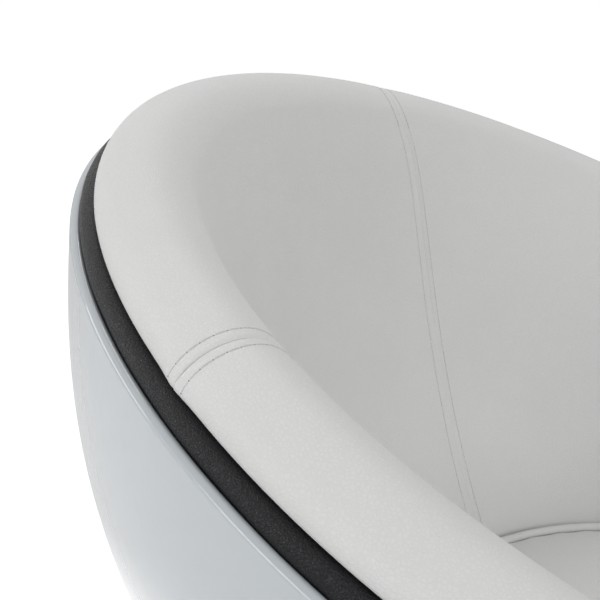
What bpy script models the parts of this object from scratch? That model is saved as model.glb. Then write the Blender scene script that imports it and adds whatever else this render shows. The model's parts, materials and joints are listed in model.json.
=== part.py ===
"""Swivel tub armchair.

A glossy moulded bowl, a ball cut by a tilted plane, holds a padded leather lining whose thick roll
stands above the bowl's lip. A leather piping lies in the joint between lip and roll. The bowl turns on
a short column over a round spun-steel foot.

Metres, +Z up. The origin is on the floor under the swivel axis. The chair faces -Y and the sitter's
left is +X. The "rim frame" is the tilted frame of the bowl's rim: its origin is the middle of the rim
plane, its Z is the bowl's own axis and its Y points to the back of the rim.
"""

import math

import bmesh
import bpy
import numpy as np

# Clearances
GAP = 0.0003
BORE_CLEARANCE = 0.0004
RUNNING_CLEARANCE = 0.00008
LAYER_GAP = 0.0005
PAD_GAP = 0.0026
SEAM_GAP = 0.0008
PIPING_GAP = 0.0010
CUSHION_GAP = 0.0020

# Bowl shell, a ball segment with a slightly flared and rounded lip
SHELL_RADIUS = 0.3645
SHELL_WALL = 0.006
LIP_FLARE = 0.006
FLARE_LENGTH = 0.040
LIP_DEPTH = 0.0115
LIP_RISE = 0.005
RIM_TILT = math.radians(22.5)
RIM_DROP = 0.040
MOUNT_HEIGHT = 0.3125
MOUNT_FLAT_RADIUS = 0.085
MOUNT_BOSS_THICKNESS = 0.008
MOUNT_BOSS_MARGIN = 0.001
BOWL_STEPS = 44
BOWL_ROWS = 9

# Moulded liner that carries the padding
LINER_WALL = 0.0035
LINER_EDGE_RISE = 0.0019
LINER_HOLE_MARGIN = 0.016

# Piping on the lip
PIPING_RADIUS = 0.0065
PIPING_SIDES = 8

# Padded lining: a roll over the rim, a wall that leans down to the cushion, a spherical foot below it
ROLL_RADIUS = 0.0317
CREASE_ANGLE = math.radians(12.5)
CREASE_TUCK = 0.10
TUCK_START = math.radians(40.0)
CREASE_OVERHANG = 0.0018
CREASE_RISE = 0.0020
SEAM_ANGLE = math.radians(46.4)
WALL_LEAN = math.radians(21.0)
WALL_LEAN_CHANGE = math.radians(10.0)
WALL_FOOT_RADIUS = 0.179
WALL_FOOT_LEAN = math.radians(42.0)
WALL_TOP_PULL = 0.40
WALL_FOOT_PULL = 0.30
PAD_HOLE_MARGIN = 0.006
PAD_COLUMNS = 11
SEAM_DEPTH = 0.0018
SEAM_WIDTH = 0.008
ROLL_ROWS = 9
WALL_ROWS = 6
FOOT_ROWS = 2
HIDDEN_ROWS = 5
GROOVE_ROWS = 4

# Seat cushion, board and welt
CUSHION_RADIUS = 0.168
CUSHION_TILT = math.radians(4.0)
CUSHION_SIDE = 0.012
CUSHION_CROWN = 0.018
CUSHION_DRAW = 0.008
CUSHION_STEPS = 32
WELT_RADIUS = 0.0035
BOARD_THICKNESS = 0.009
BOARD_CLEARANCE = 0.0015
BOARD_SEAT_GAP = 0.0024
BOARD_SCREW_CIRCLE = 0.050
BOARD_SCREW_HEAD_RADIUS = 0.0042
BOARD_SCREW_RADIUS = 0.0020
BOARD_SCREW_LENGTH = 0.018

# Reinforcement disc and its fasteners
DISC_RADIUS = 0.080
DISC_THICKNESS = 0.012
BOLT_CIRCLE = 0.060
BOLT_RADIUS = 0.004
BOLT_HEAD_RADIUS = 0.0072
BOLT_HEAD_HEIGHT = 0.0053
BOLT_FLANGE_RADIUS = 0.0092
BOLT_FLANGE = 0.0016
TEE_NUT_BARREL_RADIUS = 0.0052
TEE_NUT_FLANGE_RADIUS = 0.0100
TEE_NUT_FLANGE = 0.0015
TEE_NUT_DEPTH = 0.009

# Mounting plate, a four-lobed steel plate with a welded hub
PLATE_THICKNESS = 0.005
PLATE_LOBE_RADIUS = 0.078
PLATE_WAIST_RADIUS = 0.052
HUB_RADIUS = 0.022
HUB_FLARE = 0.010
HUB_HEIGHT = 0.028
HUB_FLARE_HEIGHT = 0.010

# Spindle and its bearing
SPINDLE_RADIUS = 0.0125
SPINDLE_LENGTH = 0.200
SPINDLE_CHAMFER = 0.0015
RACE_INNER_MARGIN = 0.0015
RACE_RADIUS = 0.0245
RACE_THICKNESS = 0.004
BALL_RADIUS = 0.003
BALL_CIRCLE = 0.0192
BALL_COUNT = 8
GROOVE_DEPTH = 0.001
CAGE_THICKNESS = 0.002
CAGE_MARGIN = 0.0044
COVER_WALL = 0.002
COVER_LAP = 0.010
COVER_CLEARANCE = 0.0012
BUSH_LENGTH = 0.030
BUSH_FLANGE = 0.004
CLIP_THICKNESS = 0.0012
CLIP_GROOVE_DEPTH = 0.001
CLIP_WIDTH = 0.0045
CLIP_OPENING = math.radians(50.0)
CLIP_END_DISTANCE = 0.008
THRUST_WASHER_THICKNESS = 0.002
THRUST_WASHER_RADIUS = 0.0190

# Column
COLUMN_RADIUS = 0.030
COLUMN_WALL = 0.0025
FOOT_FLANGE_RADIUS = 0.054
FOOT_FLANGE_THICKNESS = 0.006
COLUMN_SCREW_CIRCLE = 0.043
COLUMN_SCREW_RADIUS = 0.003
COLUMN_SCREW_HEAD_RADIUS = 0.005
COLUMN_SCREW_HEAD_HEIGHT = 0.006
COLUMN_SCREW_BITE = 0.008

# Round foot
FOOT_RADIUS = 0.255
FOOT_WALL = 0.002
FOOT_EDGE_HEIGHT = 0.016
FOOT_EDGE_ROUND = 0.005
FOOT_RISE = 0.068
FOOT_CURVE = 3.2
FOOT_STEPS = 36
NECK_RING_WIDTH = 0.006
NECK_RING_HEIGHT = 0.012
BALLAST_MARGIN = 0.014
BALLAST_THICKNESS = 0.009
BALLAST_CHAMFER = 0.002
FLOOR_PAD_MARGIN = 0.001
FLOOR_PAD_THICKNESS = 0.003

ROUND_STEPS = 36
SMALL_STEPS = 12
MIDDLE_STEPS = 24

# Levels and radii that follow from the sizes above
CENTRE_Z = MOUNT_HEIGHT + math.sqrt(SHELL_RADIUS ** 2 - MOUNT_FLAT_RADIUS ** 2)
RIM_CENTRE = np.array([0.0, RIM_DROP * math.sin(RIM_TILT), CENTRE_Z - RIM_DROP * math.cos(RIM_TILT)])
LINER_OUTER = SHELL_WALL + LAYER_GAP
LINER_INNER = LINER_OUTER + LINER_WALL
LINER_RADIUS = SHELL_RADIUS - LINER_INNER
BOSS_TOP = MOUNT_HEIGHT + MOUNT_BOSS_THICKNESS
DISC_BOTTOM = BOSS_TOP + GAP
DISC_TOP = DISC_BOTTOM + DISC_THICKNESS
TEE_NUT_TOP = DISC_TOP + GAP + TEE_NUT_FLANGE
BOARD_BOTTOM = TEE_NUT_TOP + BOARD_CLEARANCE
BOARD_TOP = BOARD_BOTTOM + BOARD_THICKNESS
BOARD_SEAT_RADIUS = LINER_RADIUS - BOARD_SEAT_GAP
BOARD_RADIUS = math.sqrt(BOARD_SEAT_RADIUS ** 2 - (CENTRE_Z - BOARD_BOTTOM) ** 2)
PAD_HOLE_RADIUS = BOARD_RADIUS + PAD_HOLE_MARGIN
PLATE_TOP = MOUNT_HEIGHT - GAP
PLATE_BOTTOM = PLATE_TOP - PLATE_THICKNESS
HUB_BOTTOM = PLATE_BOTTOM - HUB_HEIGHT
UPPER_RACE_TOP = HUB_BOTTOM - GAP
UPPER_RACE_BOTTOM = UPPER_RACE_TOP - RACE_THICKNESS
BALL_Z = UPPER_RACE_BOTTOM + GROOVE_DEPTH - GAP - BALL_RADIUS
LOWER_RACE_TOP = BALL_Z - BALL_RADIUS - GAP + GROOVE_DEPTH
LOWER_RACE_BOTTOM = LOWER_RACE_TOP - RACE_THICKNESS
BUSH_FLANGE_TOP = LOWER_RACE_BOTTOM - GAP
COLUMN_TOP = BUSH_FLANGE_TOP - BUSH_FLANGE - GAP
SPINDLE_TOP = PLATE_BOTTOM - GAP
SPINDLE_BOTTOM = SPINDLE_TOP - SPINDLE_LENGTH
CLIP_BOTTOM = SPINDLE_BOTTOM + CLIP_END_DISTANCE
CLIP_TOP = CLIP_BOTTOM + CLIP_THICKNESS
THRUST_WASHER_BOTTOM = CLIP_TOP + GAP
THRUST_WASHER_TOP = THRUST_WASHER_BOTTOM + THRUST_WASHER_THICKNESS
LOWER_BUSH_BOTTOM = THRUST_WASHER_TOP + GAP
LOWER_BUSH_TOP = LOWER_BUSH_BOTTOM + BUSH_LENGTH
BORE_RADIUS = SPINDLE_RADIUS + RUNNING_CLEARANCE
COLUMN_BORE = COLUMN_RADIUS - COLUMN_WALL
BALLAST_BOTTOM = FLOOR_PAD_THICKNESS + GAP
BALLAST_TOP = BALLAST_BOTTOM + BALLAST_THICKNESS
COLUMN_BOTTOM = BALLAST_TOP + GAP
NECK_RADIUS = COLUMN_RADIUS + GAP
NECK_TOP = FOOT_EDGE_HEIGHT + FOOT_RISE
COVER_BORE = HUB_RADIUS + GAP
COVER_INNER = COLUMN_RADIUS + COVER_CLEARANCE
COVER_TOP = HUB_BOTTOM + HUB_HEIGHT - HUB_FLARE_HEIGHT - GAP
COVER_BOTTOM = COLUMN_TOP - COVER_LAP


def clear_scene():
    """Remove every object that the scene starts with."""
    for item in list(bpy.data.objects):
        bpy.data.objects.remove(item, do_unlink=True)


def make_material(name, colour, roughness, metallic=0.0):
    """Return a plain principled material."""
    material = bpy.data.materials.new(name)
    material.use_nodes = True
    shader = material.node_tree.nodes["Principled BSDF"]
    shader.inputs["Base Color"].default_value = (*colour, 1.0)
    shader.inputs["Roughness"].default_value = roughness
    shader.inputs["Metallic"].default_value = metallic
    material.diffuse_color = (*colour, 1.0)
    return material


def make_empty(name, location=(0.0, 0.0, 0.0), tilt=0.0, parent=None):
    """Return an empty that stands for a joint axis or a frame tilted about X."""
    empty = bpy.data.objects.new(name, None)
    empty.location = location
    empty.rotation_euler = (tilt, 0.0, 0.0)
    empty.parent = parent
    bpy.context.scene.collection.objects.link(empty)
    return empty


def finish_object(name, mesh, material, parent, smooth_angle=40.0):
    """Link a mesh as a named object, with outward faces and smooth round sides."""
    shape = bmesh.new()
    shape.from_mesh(mesh)
    bmesh.ops.recalc_face_normals(shape, faces=shape.faces)
    shape.to_mesh(mesh)
    shape.free()
    mesh.shade_smooth()
    mesh.set_sharp_from_angle(angle=math.radians(smooth_angle))
    item = bpy.data.objects.new(name, mesh)
    item.parent = parent
    if material is not None:
        mesh.materials.append(material)
    bpy.context.scene.collection.objects.link(item)
    return item


def lathe_mesh(name, profile, steps, closed=True):
    """Return a mesh turned about Z from (radius, z) points.

    A closed profile is a ring section. An open one runs from the axis to the axis.
    """
    shape = bmesh.new()
    points = [shape.verts.new((radius, 0.0, z)) for radius, z in profile]
    pairs = list(zip(points, points[1:]))
    if closed:
        pairs.append((points[-1], points[0]))
    edges = [shape.edges.new(pair) for pair in pairs]
    bmesh.ops.spin(shape, geom=points + edges, cent=(0, 0, 0), axis=(0, 0, 1), dvec=(0, 0, 0),
                   angle=2 * math.pi, steps=steps, use_merge=True, use_duplicate=False)
    bmesh.ops.remove_doubles(shape, verts=shape.verts, dist=1e-6)
    mesh = bpy.data.meshes.new(name)
    shape.to_mesh(mesh)
    shape.free()
    return mesh


def lathe(name, profile, material, parent=None, steps=ROUND_STEPS, closed=True):
    """Link an object turned about Z."""
    return finish_object(name, lathe_mesh(name, profile, steps, closed), material, parent)


def loft_mesh(name, rings, caps=True, wrap=False):
    """Return a mesh through closed rings of equal point counts.

    With caps the first and last ring are filled, with wrap the last ring joins the first.
    """
    rings = np.asarray(rings, dtype=float)
    count, size = rings.shape[0], rings.shape[1]
    faces = []
    for ring in range(count if wrap else count - 1):
        low = ring * size
        high = ((ring + 1) % count) * size
        for k in range(size):
            n = (k + 1) % size
            faces.append((low + k, low + n, high + n, high + k))
    if caps and not wrap:
        faces.append(tuple(range(size)))
        faces.append(tuple(range((count - 1) * size, count * size)))
    mesh = bpy.data.meshes.new(name)
    mesh.from_pydata(rings.reshape(-1, 3).tolist(), [], faces)
    return mesh


def circle(radius, z, steps, phase=0.0):
    """Return a level ring of points about the Z axis."""
    turn = np.arange(steps) * 2 * math.pi / steps + phase
    return np.stack([radius * np.cos(turn), radius * np.sin(turn), np.full(steps, z)], axis=1)


def placed(points, angle, distance):
    """Return points moved out along the direction at the given angle."""
    return np.asarray(points) + np.array([distance * math.cos(angle), distance * math.sin(angle), 0.0])


def join_meshes(name, meshes):
    """Return one mesh that holds several separate bodies."""
    shape = bmesh.new()
    for mesh in meshes:
        shape.from_mesh(mesh)
        bpy.data.meshes.remove(mesh)
    joined = bpy.data.meshes.new(name)
    shape.to_mesh(joined)
    shape.free()
    return joined


def around(name, rings, angles, distance):
    """Return one mesh with a copy of a lofted body at each angle, for a tool that cuts them all."""
    copies = [loft_mesh(name, [placed(ring, angle, distance) for ring in rings]) for angle in angles]
    return join_meshes(name, copies)


def set_of(name, mesh, material, parent, angles, distance):
    """Link an object with the same mesh at each angle."""
    first = finish_object(name + "_1", mesh, material, parent)
    items = [first]
    for number in range(2, len(angles) + 1):
        item = bpy.data.objects.new(f"{name}_{number}", mesh)
        item.parent = parent
        bpy.context.scene.collection.objects.link(item)
        items.append(item)
    for item, angle in zip(items, angles):
        item.location = (distance * math.cos(angle), distance * math.sin(angle), 0.0)
        item.rotation_euler = (0.0, 0.0, angle)


def quarter_angles(phase=0.0):
    """Return four equally spaced angles."""
    return [phase + k * math.pi / 2 for k in range(4)]


def apply_boolean(item, tool, operation):
    """Add a Boolean modifier to an object and keep its tool out of the model."""
    modifier = item.modifiers.new(operation.lower() + "_" + tool.name, "BOOLEAN")
    modifier.operation = operation
    modifier.object = tool
    tool.hide_render = True
    tool.display_type = "WIRE"


def make_tool(name, mesh):
    """Link a mesh that only cuts or joins."""
    return finish_object(name, mesh, None, None)


def flare(z):
    """Return how far the lip's flare stands out at a height in the rim frame."""
    return LIP_FLARE * np.exp(np.asarray(z) / FLARE_LENGTH)


def bowl_point(polar, inset):
    """Return (radius, z) in the rim frame on a bowl layer, at an angle from the bowl's pole."""
    radius = SHELL_RADIUS - inset
    z = RIM_DROP - radius * math.cos(polar)
    rim_fade = math.sin(polar)
    return (radius * math.sin(polar) + float(flare(z)) * rim_fade, z)


def bowl_level(z, inset):
    """Return (radius, z) in the rim frame on a bowl layer, at a height."""
    radius = SHELL_RADIUS - inset
    polar = math.acos((RIM_DROP - z) / radius)
    return bowl_point(polar, inset)


LIP_POLAR = math.acos((RIM_DROP + LIP_DEPTH) / SHELL_RADIUS)
LIP_OUTER = bowl_point(LIP_POLAR, 0.0)
LIP_INNER = bowl_point(LIP_POLAR, SHELL_WALL)
LINER_EDGE_Z = LIP_INNER[1] + LINER_EDGE_RISE
PIPING_Z = LINER_EDGE_Z + GAP + PIPING_RADIUS
PIPING_CIRCLE = (LIP_OUTER[0] + LIP_INNER[0] - SHELL_WALL - PIPING_RADIUS) / 2
CREASE_RADIUS = ROLL_RADIUS * (1.0 - CREASE_TUCK)
ROLL_CIRCLE = PIPING_CIRCLE + CREASE_OVERHANG - CREASE_RADIUS * math.cos(CREASE_ANGLE)
ROLL_Z = PIPING_Z + PIPING_RADIUS + CREASE_RISE - CREASE_RADIUS * math.sin(CREASE_ANGLE)
WALL_RADIUS = ROLL_CIRCLE - ROLL_RADIUS
WALL_CENTRE = RIM_CENTRE + ROLL_Z * np.array([0.0, -math.sin(RIM_TILT), math.cos(RIM_TILT)])


def bowl_side(inset, last_first=False):
    """Return the profile of a bowl layer from just below the lip to the pole."""
    polars = np.linspace(LIP_POLAR, 0.0, BOWL_ROWS + 1)
    side = [bowl_point(polar, inset) for polar in polars[1:-1]]
    side.append((0.0, RIM_DROP - (SHELL_RADIUS - inset)))
    return side[::-1] if last_first else side


def make_shell(material, parent):
    """Return the moulded bowl with its rounded lip, mounting boss and bolt holes."""
    middle = np.add(LIP_OUTER, LIP_INNER) / 2
    reach = np.subtract(LIP_INNER, LIP_OUTER) / 2
    turns = np.linspace(0.0, math.pi, 5)
    lip = [tuple(middle - math.cos(a) * reach + (0.0, LIP_RISE * math.sin(a))) for a in turns]
    profile = bowl_side(SHELL_WALL, last_first=True) + lip[::-1] + bowl_side(0.0)
    shell = lathe("shell", profile, material, parent, BOWL_STEPS, closed=False)
    boss_radius = MOUNT_FLAT_RADIUS - MOUNT_BOSS_MARGIN
    boss = [circle(boss_radius, z, ROUND_STEPS) for z in (MOUNT_HEIGHT - 0.002, BOSS_TOP)]
    apply_boolean(shell, make_tool("shell_boss_tool", loft_mesh("boss", boss)), "UNION")
    below = MOUNT_HEIGHT - SHELL_RADIUS / 8
    flat = [circle(SHELL_RADIUS / 2, z, ROUND_STEPS) for z in (below, MOUNT_HEIGHT)]
    apply_boolean(shell, make_tool("shell_flat_tool", loft_mesh("flat", flat)), "DIFFERENCE")
    hole_radius = BOLT_RADIUS + BORE_CLEARANCE
    hole = [circle(hole_radius, z, SMALL_STEPS) for z in (MOUNT_HEIGHT - 0.01, BOSS_TOP + 0.01)]
    holes = around("bolt_holes", hole, quarter_angles(), BOLT_CIRCLE)
    apply_boolean(shell, make_tool("shell_hole_tool", holes), "DIFFERENCE")
    return shell


def make_liner(material, parent):
    """Return the moulded liner, open at the bottom round the seat board."""
    outer = [bowl_level(LINER_EDGE_Z, LINER_OUTER)] + bowl_side(LINER_OUTER)
    inner = bowl_side(LINER_INNER, last_first=True) + [bowl_level(LINER_EDGE_Z, LINER_INNER)]
    liner = lathe("liner", inner + outer, material, parent, BOWL_STEPS, closed=False)
    radius = BOARD_RADIUS - LINER_HOLE_MARGIN
    hole = [circle(radius, z, ROUND_STEPS) for z in (MOUNT_HEIGHT - 0.03, BOARD_TOP)]
    apply_boolean(liner, make_tool("liner_hole_tool", loft_mesh("liner_hole", hole)), "DIFFERENCE")
    return liner


def make_piping(material, parent):
    """Return the leather piping that lies on the lip."""
    turns = np.arange(PIPING_SIDES) * 2 * math.pi / PIPING_SIDES + math.pi / PIPING_SIDES
    profile = [(PIPING_CIRCLE + PIPING_RADIUS * math.cos(a), PIPING_Z + PIPING_RADIUS * math.sin(a))
               for a in turns]
    return lathe("rim_piping", profile, material, parent, BOWL_STEPS)


def meridian(angle, radius, z):
    """Return a point of the rim frame from an angle off the back, a radius and a height."""
    return np.array([radius * math.sin(angle), radius * math.cos(angle), z])


def roll_end(angle):
    """Return the turn at which the roll passes into the wall: sooner at the back, later in front."""
    return math.pi - WALL_LEAN - WALL_LEAN_CHANGE * math.cos(angle)


def roll_point(angle, turn, depth):
    """Return a point on the roll: a circle that tucks in towards the piping, drawn in by a depth."""
    tuck = max(0.0, (TUCK_START - turn) / (TUCK_START - CREASE_ANGLE))
    radius = ROLL_RADIUS * (1.0 - CREASE_TUCK * tuck ** 2) - depth
    return meridian(angle, ROLL_CIRCLE + radius * math.cos(turn), ROLL_Z + radius * math.sin(turn))


def upright_to_rim(vector):
    """Turn a direction of the chair's frame into the rim frame."""
    x, y, z = vector
    cosine, sine = math.cos(RIM_TILT), math.sin(RIM_TILT)
    return np.array([x, y * cosine + z * sine, z * cosine - y * sine])


def wall_foot(angle):
    """Return the wall's foot, beside the cushion, and the hole's edge, from the wall's centre.

    Both lie on the seat's sphere at the same turn about the upright axis, in the rim frame.
    """
    turn = math.atan2(math.sin(angle), math.cos(angle) * math.cos(RIM_TILT))
    x, y = WALL_FOOT_RADIUS * math.sin(turn), WALL_FOOT_RADIUS * math.cos(turn)
    z = -math.sqrt(WALL_RADIUS ** 2 - WALL_FOOT_RADIUS ** 2)
    cosine, sine = math.cos(CUSHION_TILT), math.sin(CUSHION_TILT)
    foot = np.array([x, y * cosine + z * sine, z * cosine - y * sine])
    across = PAD_HOLE_RADIUS * np.array([math.sin(turn), math.cos(turn)]) - WALL_CENTRE[:2]
    edge = np.array([*across, -math.sqrt(WALL_RADIUS ** 2 - float(across @ across))])
    down = np.array([-math.sin(turn) * math.sin(WALL_FOOT_LEAN),
                     -math.cos(turn) * math.sin(WALL_FOOT_LEAN), -math.cos(WALL_FOOT_LEAN)])
    return upright_to_rim(foot), upright_to_rim(edge), upright_to_rim(down)


def wall_line(angle):
    """Return the wall's points below the roll, in the rim frame, down to the seat board's hole.

    A cubic curve leaves the roll along its tangent and comes down beside the cushion. The rest runs
    under the cushion on the seat's sphere.
    """
    centre = np.array([0.0, 0.0, ROLL_Z])
    foot, edge, down = wall_foot(angle)
    turn = roll_end(angle)
    first, last = roll_point(angle, turn, 0.0), centre + foot
    along = meridian(angle, -math.sin(turn), math.cos(turn))
    length = float(np.linalg.norm(last - first))
    second = first + along * length * WALL_TOP_PULL
    third = last - down * length * WALL_FOOT_PULL
    points = []
    for t in np.linspace(0.0, 1.0, WALL_ROWS + 1)[1:]:
        points.append((1 - t) ** 3 * first + 3 * (1 - t) ** 2 * t * second
                      + 3 * (1 - t) * t ** 2 * third + t ** 3 * last)
    for t in np.linspace(0.0, 1.0, FOOT_ROWS + 1)[1:]:
        direction = foot * (1 - t) + edge * t
        points.append(centre + direction * WALL_RADIUS / float(np.linalg.norm(direction)))
    return points


def reach_to_bowl(direction, inset):
    """Return how far a ray from the wall's centre runs to a bowl layer, by bisection."""
    low, high = 0.0, 2 * SHELL_RADIUS
    for _ in range(40):
        middle = (low + high) / 2
        point = direction * middle + np.array([0.0, 0.0, ROLL_Z])
        radius = SHELL_RADIUS - inset
        level = min(radius, max(-radius, RIM_DROP - point[2]))
        side, _ = bowl_point(math.acos(level / radius), inset)
        if point[2] > RIM_DROP - radius and math.hypot(point[0], point[1]) < side:
            low = middle
        else:
            high = middle
    return low


def pad_section(angle, depth):
    """Return the lining's inner and outer lines at an angle off the back, in the rim frame.

    The inner line is the one that shows. At a seam it is drawn in by a depth.
    """
    centre = np.array([0.0, 0.0, ROLL_Z])
    inner = [roll_point(angle, turn, depth)
             for turn in np.linspace(CREASE_ANGLE, roll_end(angle), ROLL_ROWS + 1)]
    directions = []
    for point in wall_line(angle):
        directions.append((point - centre) / float(np.linalg.norm(point - centre)))
        inner.append(point + directions[-1] * depth)
    inset = LINER_INNER + PAD_GAP
    outer = []
    for number in np.linspace(len(directions) - 1, -1, HIDDEN_ROWS + 1)[:-1]:
        direction = directions[round(float(number))]
        outer.append(centre + direction * reach_to_bowl(direction, inset))
    radius, z = bowl_level(LIP_INNER[1] - PIPING_GAP, inset)
    outer.append(meridian(angle, radius, z))
    groove = PIPING_RADIUS + PIPING_GAP
    for turn in np.linspace(math.radians(228), math.radians(95), GROOVE_ROWS + 1):
        outer.append(meridian(angle, PIPING_CIRCLE + groove * math.cos(turn),
                              PIPING_Z + groove * math.sin(turn)))
    return inner, outer[::-1]


def ladder_faces(inner, outer):
    """Return triangles between two lines of point numbers that start at the same end."""
    faces = []
    i, j = 0, 0
    while i < len(inner) - 1 or j < len(outer) - 1:
        next_inner = (i + 1) / (len(inner) - 1) if i < len(inner) - 1 else 2.0
        next_outer = (j + 1) / (len(outer) - 1) if j < len(outer) - 1 else 2.0
        if next_inner <= next_outer:
            faces.append((inner[i], inner[i + 1], outer[j]))
            i += 1
        else:
            faces.append((inner[i], outer[j + 1], outer[j]))
            j += 1
    return faces


def make_pad(name, first, last, material, parent):
    """Return one padded panel of the lining between two seams."""
    margin = SEAM_GAP / (2 * WALL_RADIUS)
    width = SEAM_WIDTH / ROLL_CIRCLE
    angles = np.linspace(first + margin + width, last - margin - width, PAD_COLUMNS + 1)
    angles = [first + margin, *angles, last - margin]
    columns = len(angles) - 1
    points, faces = [], []
    for number, angle in enumerate(angles):
        inner, outer = pad_section(angle, SEAM_DEPTH if number in (0, columns) else 0.0)
        points += inner + outer[::-1]
    size = len(inner) + len(outer)
    for column in range(columns):
        low, high = column * size, (column + 1) * size
        for k in range(size):
            n = (k + 1) % size
            faces.append((low + k, low + n, high + n, high + k))
    for column in (0, columns):
        start = column * size
        near = [start + k for k in range(len(inner))]
        far = [start + size - 1 - k for k in range(len(outer))]
        faces += ladder_faces(near, far)
    mesh = bpy.data.meshes.new(name)
    mesh.from_pydata([tuple(point) for point in points], [], faces)
    return finish_object(name, mesh, material, parent, 60.0)


def cushion_frame(points):
    """Move points from the cushion's own frame, which leans back, to the chair's frame."""
    cosine, sine = math.cos(CUSHION_TILT), math.sin(CUSHION_TILT)
    x, y, z = np.asarray(points).T
    return np.stack([x, y * cosine + z * sine, z * cosine - y * sine], axis=1) + WALL_CENTRE


SEAT_SPHERE = WALL_RADIUS - CUSHION_GAP
CUSHION_EDGE_Z = CUSHION_SIDE - math.sqrt(SEAT_SPHERE ** 2 - CUSHION_RADIUS ** 2)


def make_cushion(material, parent):
    """Return the round crowned cushion, whose foot fills the hole down to the seat board."""
    rings = []
    for share in (0.12, 0.35, 0.58, 0.78, 0.93, 1.0):
        crown = CUSHION_CROWN * (1.0 - share ** 2.4)
        rings.append(cushion_frame(circle(share * CUSHION_RADIUS, CUSHION_EDGE_Z + crown, CUSHION_STEPS)))
    drawn = CUSHION_RADIUS - CUSHION_DRAW * 0.75
    rings.append(cushion_frame(circle(drawn, CUSHION_EDGE_Z - CUSHION_SIDE * 0.6, CUSHION_STEPS)))
    foot_radius = PAD_HOLE_RADIUS - CUSHION_GAP
    for radius in (CUSHION_RADIUS - CUSHION_DRAW, (CUSHION_RADIUS - CUSHION_DRAW + foot_radius) / 2):
        level = -math.sqrt(SEAT_SPHERE ** 2 - radius ** 2)
        rings.append(cushion_frame(circle(radius, level, CUSHION_STEPS)))
    foot = circle(foot_radius, 0.0, CUSHION_STEPS)
    across = np.hypot(foot[:, 0] - WALL_CENTRE[0], foot[:, 1] - WALL_CENTRE[1])
    foot[:, 2] = WALL_CENTRE[2] - np.sqrt(SEAT_SPHERE ** 2 - across ** 2)
    rings.append(foot)
    rings.append(circle(foot_radius - CUSHION_GAP, BOARD_TOP + GAP, CUSHION_STEPS))
    rings.append(circle(foot_radius / 8, BOARD_TOP + GAP, CUSHION_STEPS))
    return finish_object("seat_cushion", loft_mesh("seat_cushion", rings), material, parent, 50.0)


def make_welt(material, parent):
    """Return the welt that runs round the cushion's edge."""
    sides = 6
    rings = []
    for turn in np.arange(CUSHION_STEPS) * 2 * math.pi / CUSHION_STEPS:
        around_tube = np.arange(sides) * 2 * math.pi / sides
        radius = CUSHION_RADIUS + WELT_RADIUS + GAP + WELT_RADIUS * np.cos(around_tube)
        z = CUSHION_EDGE_Z + WELT_RADIUS * np.sin(around_tube)
        ring = np.stack([radius * math.cos(turn), radius * math.sin(turn), z], axis=1)
        rings.append(cushion_frame(ring))
    mesh = loft_mesh("cushion_welt", rings, wrap=True)
    return finish_object("cushion_welt", mesh, material, parent)


def board_screw_rings(extra):
    """Return the rings of a countersunk screw, or of its hole with a positive margin."""
    head_depth = BOARD_SCREW_HEAD_RADIUS - BOARD_SCREW_RADIUS
    bottom = BOARD_TOP - BOARD_SCREW_LENGTH - extra
    return [circle(BOARD_SCREW_RADIUS + extra, bottom, SMALL_STEPS),
            circle(BOARD_SCREW_RADIUS + extra, BOARD_TOP - head_depth - extra, SMALL_STEPS),
            circle(BOARD_SCREW_HEAD_RADIUS + extra, BOARD_TOP - extra / 2, SMALL_STEPS),
            circle(BOARD_SCREW_HEAD_RADIUS + extra, BOARD_TOP + 4 * extra, SMALL_STEPS)]


def make_seat_board(wood, steel, parent):
    """Return the plywood board under the cushion, and its four screws."""
    rings = [circle(BOARD_RADIUS, z, ROUND_STEPS) for z in (BOARD_BOTTOM, BOARD_TOP)]
    board = finish_object("seat_board", loft_mesh("seat_board", rings), wood, parent)
    angles = quarter_angles(math.pi / 4)
    holes = around("board_screw_holes", board_screw_rings(GAP), angles, BOARD_SCREW_CIRCLE)
    tool = make_tool("board_screw_tool", holes)
    apply_boolean(board, tool, "DIFFERENCE")
    screw = loft_mesh("board_screw", board_screw_rings(0.0)[:3])
    set_of("board_screw", screw, steel, parent, angles, BOARD_SCREW_CIRCLE)
    return tool


def make_disc(wood, parent, screw_tool):
    """Return the reinforcement disc, with holes for the tee nuts and the board's screws."""
    rings = [circle(DISC_RADIUS, z, ROUND_STEPS) for z in (DISC_BOTTOM, DISC_TOP)]
    disc = finish_object("reinforcement_disc", loft_mesh("disc", rings), wood, parent)
    radius = TEE_NUT_BARREL_RADIUS + GAP
    hole = [circle(radius, z, SMALL_STEPS) for z in (DISC_BOTTOM - 0.005, DISC_TOP + 0.005)]
    holes = around("tee_nut_holes", hole, quarter_angles(), BOLT_CIRCLE)
    apply_boolean(disc, make_tool("tee_nut_hole_tool", holes), "DIFFERENCE")
    apply_boolean(disc, screw_tool, "DIFFERENCE")


def hexagon(radius, z):
    """Return a level hexagon with its corners and the middles of its sides."""
    ring = circle(radius, z, SMALL_STEPS)
    ring[1::2, :2] *= math.cos(math.pi / 6)
    return ring


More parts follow.
